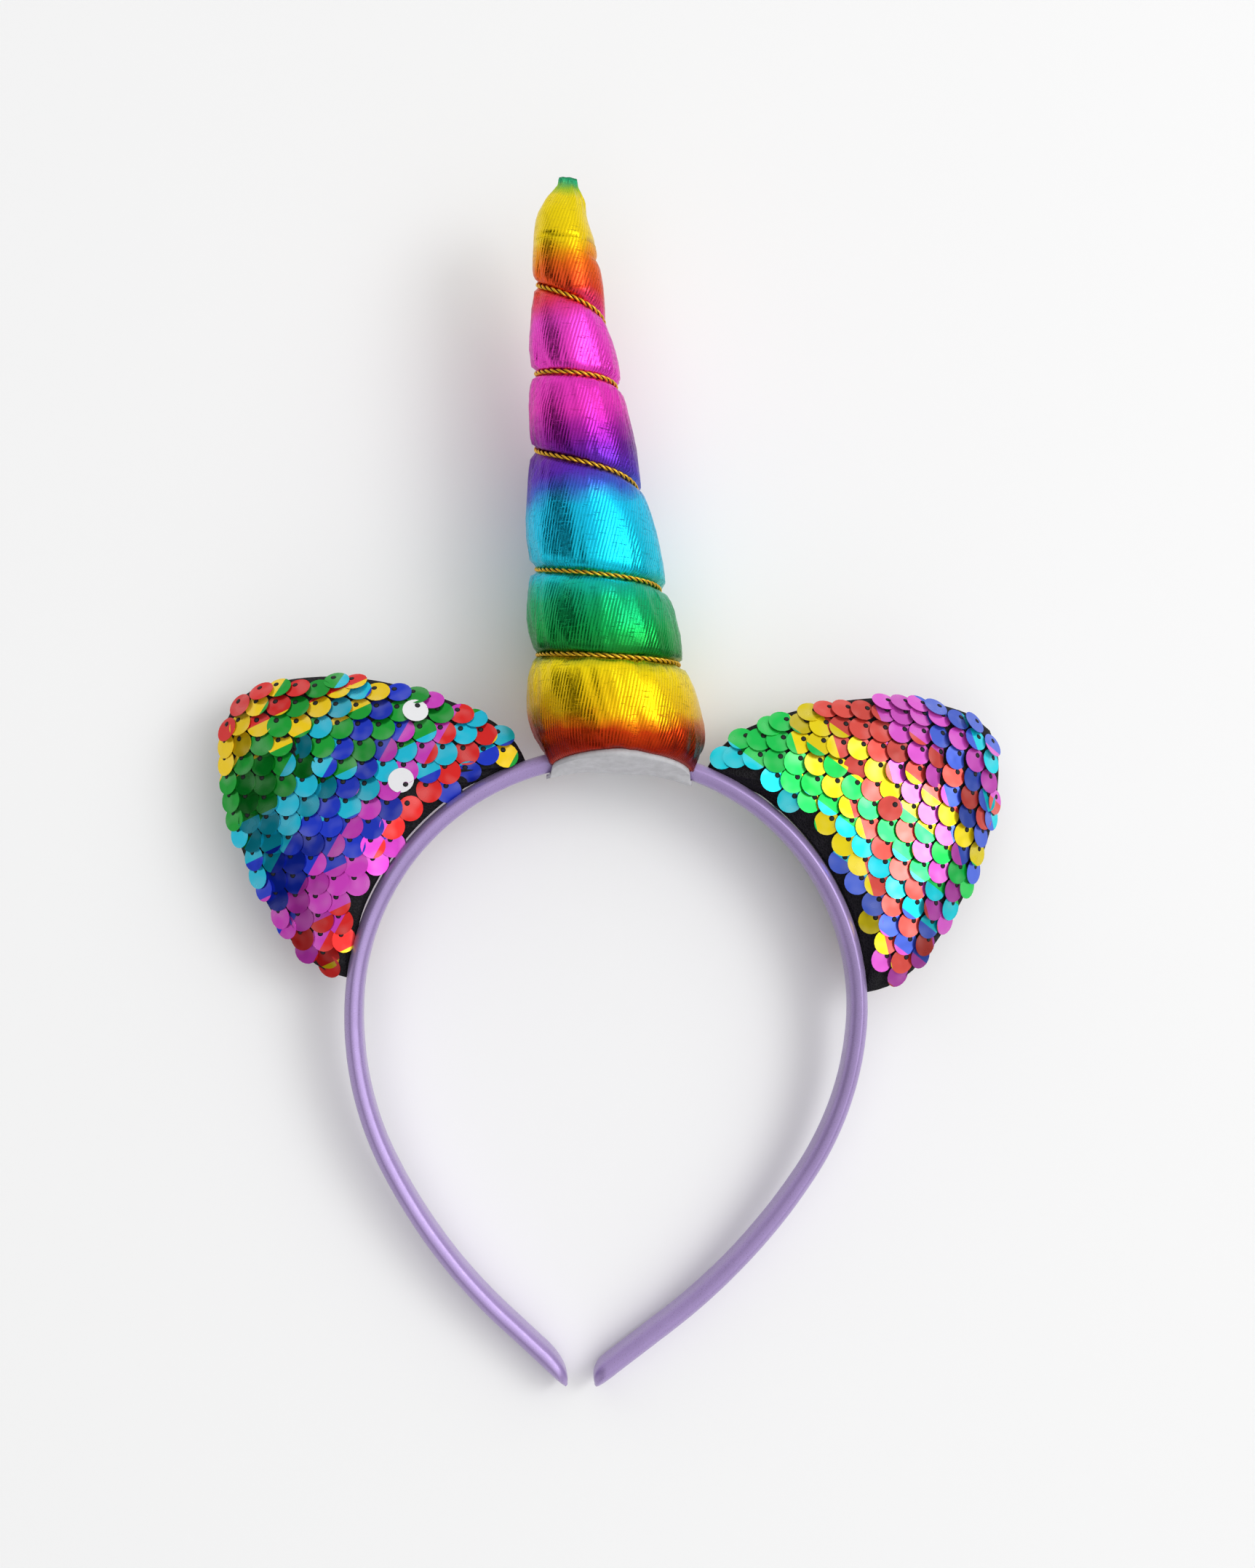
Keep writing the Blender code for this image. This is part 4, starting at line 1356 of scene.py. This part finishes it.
def sequin_places(side, face, looks):
    """The holes of one face's sequins, spaced along the crowned cloth: (place, column, row)."""
    lattice = SEQUIN_LATTICES[side]
    outline = ear_outline()
    middle = OUTER_RADIUS + EAR_MIDDLE * EAR_HEIGHT
    centre = from_ear(side, middle, 0.0, 0.0).xy
    row_way, column_way, hole_way = (way_of(lattice[name]) for name in ("row", "column", "hole"))
    bare = OUTER_RADIUS + BARE_EDGE[side]
    steps = 60
    found = []
    for row in range(-SEQUIN_REACH, SEQUIN_REACH + 1):
        for column in range(-SEQUIN_REACH, SEQUIN_REACH + 1):
            flat = Vector(lattice["place"])
            flat += looks.row_pitch * column * row_way + looks.column_pitch * row * column_way
            away = flat - centre
            distance = away.length
            # The direction is the same on the ear's own axes once the place is taken there.
            along, across = to_ear(side, *flat)
            direction = Vector((along - middle, across))
            if direction.length < 1e-9:
                direction = Vector((1.0, 0.0))
            direction.normalize()
            reach = outline_reach(outline, middle, direction)
            runs = [(0.0, 0.0)]
            for k in range(1, steps + 1):
                share = math.sin(math.pi / 2 * k / steps)
                rise = ear_crown(share) - ear_crown(runs[-1][1])
                runs.append((runs[-1][0] + math.hypot((share - runs[-1][1]) * reach, rise), share))
            # The outermost sequins are sewn where they just reach the rim.
            overhang = looks.diameter / 2 - looks.hole_offset * hole_way.dot(away.normalized())
            limit = runs[-1][0] - RIM_SHARE * overhang
            if distance > limit + 0.5 * looks.column_pitch:
                continue
            distance = min(distance, limit)
            k = next(k for k, (run, _) in enumerate(runs) if run >= distance)
            (low, share), (high, next_share) = runs[max(0, k - 1)], runs[k]
            share += (next_share - share) * (distance - low) / max(1e-9, high - low)
            if face == -1 and share > 0.90:
                continue
            if math.hypot(middle + direction.x * reach * share, direction.y * reach * share) < bare:
                continue
            spot = direction * reach * share
            found.append((from_ear(side, middle + spot.x, spot.y, face * ear_crown(share)), column, row))
    return found


def sequin_tree():
    """Sequins on points: a film disc with a hole and its thread, turned by each point's own rotation."""
    tree = new_tree("sequins", [
        ("Diameter", "Float", 0.006), ("Hole", "Float", 0.0011), ("Hole Offset", "Float", 0.00185),
        ("Thickness", "Float", 0.0001), ("Film", "Material", None), ("Thread", "Material", None),
        ("Seed", "Int", 4),
    ])
    steps = Steps(tree)
    source = steps.source.outputs
    radius = steps.math("MULTIPLY", source["Diameter"], 0.5)
    hole_radius = steps.math("MULTIPLY", source["Hole"], 0.5)
    disc = steps.add("GeometryNodeCurvePrimitiveCircle", {"Resolution": 20, "Radius": radius})
    hole = steps.add("GeometryNodeCurvePrimitiveCircle", {"Resolution": 9, "Radius": hole_radius})
    # The disc's origin is its hole, which the thread holds.
    below = steps.math("MULTIPLY", source["Hole Offset"], -1.0)
    centre = steps.add("ShaderNodeCombineXYZ", {"Y": below}).outputs[0]
    disc = steps.add("GeometryNodeTransform", {"Geometry": disc.outputs[0], "Translation": centre})
    rims = steps.add("GeometryNodeJoinGeometry")
    tree.links.new(disc.outputs[0], rims.inputs[0])
    tree.links.new(hole.outputs[0], rims.inputs[0])
    film = steps.add("GeometryNodeFillCurve", {"Curve": rims.outputs[0]}, mode="TRIANGLES")
    front = steps.add("GeometryNodeExtrudeMesh", {
        "Mesh": film.outputs[0], "Offset Scale": source["Thickness"], "Individual": False,
    })
    back_side = steps.add("GeometryNodeFlipFaces", {"Mesh": film.outputs[0]})
    front = steps.store(front.outputs[0], "back", 0.0, domain="FACE")
    back = steps.store(back_side.outputs[0], "back", 1.0, domain="FACE")
    both = steps.add("GeometryNodeJoinGeometry")
    tree.links.new(front, both.inputs[0])
    tree.links.new(back, both.inputs[0])
    closed = steps.add("GeometryNodeMergeByDistance", {"Geometry": both.outputs[0], "Distance": 1e-6})
    film = steps.paint(closed.outputs[0], source["Film"])
    # A flat knot of thread sits in the hole.
    knot = steps.add("GeometryNodeMeshUVSphere", {
        "Segments": 6, "Rings": 3, "Radius": steps.math("MULTIPLY", source["Hole"], 0.46),
    })
    above = steps.math("MULTIPLY", source["Thickness"], 0.6)
    lift = steps.add("ShaderNodeCombineXYZ", {"Z": above}).outputs[0]
    thread = steps.add("GeometryNodeTransform", {
        "Geometry": knot.outputs[0], "Translation": lift, "Scale": (1.0, 1.0, 0.4),
    })
    thread = steps.paint(thread.outputs[0], source["Thread"])
    sequin = steps.add("GeometryNodeJoinGeometry")
    tree.links.new(film, sequin.inputs[0])
    tree.links.new(thread, sequin.inputs[0])
    jitter = steps.add("FunctionNodeRandomValue", {
        "Min": (-0.045, -0.045, -0.14), "Max": (0.045, 0.045, 0.14), "Seed": source["Seed"],
    }, data_type="FLOAT_VECTOR")
    turned = steps.add("FunctionNodeRotateRotation", {
        "Rotation": steps.named("lie", "QUATERNION"),
        "Rotate By": steps.add("FunctionNodeEulerToRotation", {0: jitter.outputs[0]}).outputs[0],
    }, rotation_space="LOCAL")
    laid = steps.add("GeometryNodeInstanceOnPoints", {
        "Points": source["Geometry"], "Instance": sequin.outputs[0], "Rotation": turned.outputs[0],
    })
    real = steps.add("GeometryNodeRealizeInstances", {"Geometry": laid.outputs[0]})
    place = steps.add("GeometryNodeInputPosition").outputs[0]
    printed = steps.vector("DOT_PRODUCT", place, steps.named("print_way", "FLOAT_VECTOR"), output=1)
    printed = steps.math("ADD", printed, steps.named("print_start"))
    steps.end(steps.store(real.outputs[0], "rainbow", printed))
    return tree


def make_sequins(side, cushion, looks, film, thread):
    """The sequins of both faces of one ear, sewn at their holes and lying over each other like scales."""
    tree = BVHTree.FromObject(cushion, bpy.context.evaluated_depsgraph_get())
    lattice = SEQUIN_LATTICES[side]
    chance = random.Random(11 if side == "left" else 23)
    places, rows = [], []
    turned_over = {(mark["column"], mark["row"]): mark["hole"] for mark in FLIPPED[side]}
    for face in (1, -1):
        for spot, column, row in sequin_places(side, face, looks):
            hole, hole_normal, _, _ = tree.find_nearest(STAND @ spot)
            flipped = face == 1 and (column, row) in turned_over
            turn = turned_over[column, row] if flipped else lattice["hole"] + chance.uniform(-5, 5)
            turn = math.radians(turn)
            up_hole = STAND.to_3x3() @ Vector((math.cos(turn), math.sin(turn), 0.0))
            up_hole = (up_hole - hole_normal * up_hole.dot(hole_normal)).normalized()
            # The film is stiff, so it lies on the cloth under its middle and not along the cloth at its hole.
            middle, normal, _, _ = tree.find_nearest(hole - up_hole * looks.hole_offset)
            normal = (normal + 0.5 * hole_normal).normalized()
            up_hole = (hole - middle).normalized()
            lean = looks.lean + math.radians(chance.gauss(0, 1.3))
            if chance.random() < 0.05:
                lean += math.radians(chance.uniform(4, 9))
            z_axis = (normal * math.cos(lean) + up_hole * math.sin(lean)).normalized()
            y_axis = (up_hole - z_axis * up_hole.dot(z_axis)).normalized()
            turn = Matrix((y_axis.cross(z_axis), y_axis, z_axis)).transposed().to_quaternion()
            places.append(hole + hole_normal * (0.0012 if flipped else 0.00022))
            which = (column + row) % 2
            pattern = SEQUIN_PRINTS[side][which]
            way = math.radians(pattern["direction"])
            way = STAND.to_3x3() @ Vector((math.cos(way), math.sin(way), 0.0)) / pattern["cycle"]
            origin = STAND @ Vector((*lattice["place"], 0.0))
            rows.append({
                "lie": turn, "print_way": way,
                "print_start": pattern["start"] - way.dot(origin) + 5.0 + chance.gauss(0, 0.012),
                # Painted dark reflection for each sequin, drawn at random: most barely darkened, a few nearly
                # black.
                "painted_dark_reflection": max(0.0, min(1.0, chance.gauss(0.10, 0.22))),
                "turned_over": 1.0 if flipped else 0.0,
            })
    mesh = bpy.data.meshes.new("sequin places")
    mesh.from_pydata(places, [], [])
    for name, kind, key in (("lie", "QUATERNION", "value"), ("print_way", "FLOAT_VECTOR", "vector"),
                            ("print_start", "FLOAT", "value"), ("painted_dark_reflection", "FLOAT", "value"),
                            ("turned_over", "FLOAT", "value")):
        attribute = mesh.attributes.new(name, kind, "POINT")
        for k, row in enumerate(rows):
            setattr(attribute.data[k], key, row[name])
    sequins = bpy.data.objects.new("ear_" + side + "_sequins", mesh)
    bpy.context.scene.collection.objects.link(sequins)
    sewing = sequins.modifiers.new("sew", "NODES")
    sewing.node_group = bpy.data.node_groups.get("sequins") or sequin_tree()
    set_inputs(sewing, {
        "Diameter": looks.diameter, "Hole": looks.hole, "Hole Offset": looks.hole_offset,
        "Thickness": looks.thickness, "Film": film, "Thread": thread, "Seed": 4 if side == "left" else 9,
    })
    return to_plain_mesh(sequins)


def make_stage(looks):
    """A pale floor under a bright dome with its cards, a soft key light, and the camera above."""
    build = bmesh.new()
    bmesh.ops.create_grid(build, x_segments=8, y_segments=8, size=FLOOR_HALF)
    mesh = bpy.data.meshes.new("floor")
    build.to_mesh(mesh)
    build.free()
    paper = Shades("pale floor")
    paper.set(base_color=tuple(looks.floor), roughness=0.9)
    mesh.materials.append(paper.material)
    floor = bpy.data.objects.new("floor", mesh)
    bpy.context.scene.collection.objects.link(floor)

    world = bpy.data.worlds.new("studio")
    bpy.context.scene.world = world
    world.use_nodes = True
    tree = world.node_tree
    sky = tree.nodes["Background"]
    place = tree.nodes.new("ShaderNodeTexCoord")
    strength = None
    for card in STUDIO_CARDS:
        toward = tree.nodes.new("ShaderNodeVectorMath")
        toward.operation = "DOT_PRODUCT"
        toward.inputs[1].default_value = Vector(card["toward"]).normalized()
        tree.links.new(place.outputs["Generated"], toward.inputs[0])
        edge = tree.nodes.new("ShaderNodeMapRange")
        edge.interpolation_type = "SMOOTHSTEP"
        edge.inputs["From Min"].default_value = math.cos(math.radians(card["outer"]))
        edge.inputs["From Max"].default_value = math.cos(math.radians(card["inner"]))
        edge.inputs["To Min"].default_value = 1.0
        edge.inputs["To Max"].default_value = card["strength"]
        tree.links.new(toward.outputs["Value"], edge.inputs["Value"])
        if strength is None:
            strength = edge.outputs["Result"]
            continue
        product = tree.nodes.new("ShaderNodeMath")
        product.operation = "MULTIPLY"
        tree.links.new(strength, product.inputs[0])
        tree.links.new(edge.outputs["Result"], product.inputs[1])
        strength = product.outputs[0]
    tree.links.new(strength, sky.inputs["Strength"])
    sky.inputs["Color"].default_value = (looks.dome, looks.dome, looks.dome, 1.0)

    light = bpy.data.lights.new("key", "AREA")
    light.shape = "DISK"
    light.size = KEY_SIZE
    light.energy = looks.key
    lamp = bpy.data.objects.new("key", light)
    lamp.location = KEY_PLACE
    lamp.rotation_mode = "QUATERNION"
    lamp.rotation_quaternion = (-lamp.location).to_track_quat("-Z", "Y")
    bpy.context.scene.collection.objects.link(lamp)

    # The photograph is taken from the loop's front, a little from its left.
    aim = Vector(CAMERA_AIM)
    yaw, roll = math.radians(CAMERA_YAW), math.radians(CAMERA_ROLL)
    spot = aim + looks.distance * Vector((-math.sin(yaw), 0.0, math.cos(yaw)))
    forward = (aim - spot).normalized()
    up = Vector((-math.sin(roll), math.cos(roll), 0.0))
    right = forward.cross(up).normalized()
    up = right.cross(forward)
    turned = Matrix((right, up, -forward)).transposed().to_4x4()
    camera_data = bpy.data.cameras.new("camera")
    camera_data.sensor_fit = "HORIZONTAL"
    camera_data.sensor_width = 36.0
    camera_data.lens = camera_data.sensor_width * looks.distance / PICTURE_WIDTH
    camera = bpy.data.objects.new("camera", camera_data)
    camera.matrix_world = STAND @ (Matrix.Translation(spot) @ turned)
    bpy.context.scene.collection.objects.link(camera)
    bpy.context.scene.camera = camera
    bpy.context.scene.view_settings.view_transform = "Standard"


class HEADBAND_OT_band(bpy.types.Operator):
    """Wrap the band in satin ribbon"""

    bl_idname = "headband.band"
    bl_label = "Band"

    def execute(self, context):
        band = make_band(context.scene.band_looks)
        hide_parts("headband")
        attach(band, BODY)
        return {"FINISHED"}


class HEADBAND_OT_horn(bpy.types.Operator):
    """Sew and stuff the foil-cloth horn"""

    bl_idname = "headband.horn"
    bl_label = "Horn"

    def execute(self, context):
        horn = make_horn(context.scene.horn_looks)
        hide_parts("horn")
        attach(horn, BODY)
        return {"FINISHED"}


class HEADBAND_OT_cord(bpy.types.Operator):
    """Wind the twisted cord into the horn's groove"""

    bl_idname = "headband.cord"
    bl_label = "Cord"

    def execute(self, context):
        cord = make_cord(context.scene.cord_looks)
        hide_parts("horn_cord")
        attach(cord, BODY)
        return {"FINISHED"}


class HEADBAND_OT_pad(bpy.types.Operator):
    """Lay the felt patch under the horn"""

    bl_idname = "headband.pad"
    bl_label = "Pad"

    def execute(self, context):
        pad = make_pad(context.scene.pad_looks)
        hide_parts("horn_pad")
        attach(pad, BODY)
        return {"FINISHED"}


class HEADBAND_OT_ears(bpy.types.Operator):
    """Pad both ears and sew on their sequins"""

    bl_idname = "headband.ears"
    bl_label = "Ears"

    def execute(self, context):
        looks = context.scene.ear_looks
        ground = ground_material(looks.mesh)
        thread = plain_material("black thread", (0.008, 0.008, 0.010), 0.7)
        for side in ("left", "right"):
            cushion = make_cushion(side, ground)
            sequins = make_sequins(side, cushion, looks, film_material(side), thread)
            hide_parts("ear_" + side)
            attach(cushion, BODY)
            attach(sequins, BODY)
        return {"FINISHED"}


class HEADBAND_OT_stage(bpy.types.Operator):
    """Set up the floor, the lights and the camera"""

    bl_idname = "headband.stage"
    bl_label = "Stage"

    def execute(self, context):
        make_stage(context.scene.stage_looks)
        return {"FINISHED"}


class HEADBAND_PT_pieces(bpy.types.Panel):
    bl_label = "Headband"
    bl_space_type = "VIEW_3D"
    bl_region_type = "UI"
    bl_category = "Headband"

    def draw(self, context):
        for looks, operator in PANEL_ROWS:
            box = self.layout.box()
            group = getattr(context.scene, looks)
            for name in group.__annotations__:
                box.prop(group, name)
            box.operator(operator)


PANEL_ROWS = (
    ("stage_looks", "headband.stage"),
    ("band_looks", "headband.band"),
    ("horn_looks", "headband.horn"),
    ("cord_looks", "headband.cord"),
    ("pad_looks", "headband.pad"),
    ("ear_looks", "headband.ears"),
)
LOOKS = {
    "stage_looks": StageLooks, "band_looks": BandLooks, "horn_looks": HornLooks,
    "cord_looks": CordLooks, "pad_looks": PadLooks, "ear_looks": EarLooks,
}
OPERATORS = (
    HEADBAND_OT_stage, HEADBAND_OT_band, HEADBAND_OT_horn,
    HEADBAND_OT_cord, HEADBAND_OT_pad, HEADBAND_OT_ears,
)


def register():
    for name, group in LOOKS.items():
        bpy.utils.register_class(group)
        setattr(bpy.types.Scene, name, bpy.props.PointerProperty(type=group))
    for operator in OPERATORS:
        bpy.utils.register_class(operator)
    bpy.utils.register_class(HEADBAND_PT_pieces)


def unregister():
    bpy.utils.unregister_class(HEADBAND_PT_pieces)
    for operator in reversed(OPERATORS):
        bpy.utils.unregister_class(operator)
    for name, group in LOOKS.items():
        delattr(bpy.types.Scene, name)
        bpy.utils.unregister_class(group)


def main():
    register()
    for _, operator in PANEL_ROWS:
        group, name = operator.split(".")
        getattr(getattr(bpy.ops, group), name)()


if __name__ == "__main__":
    main()
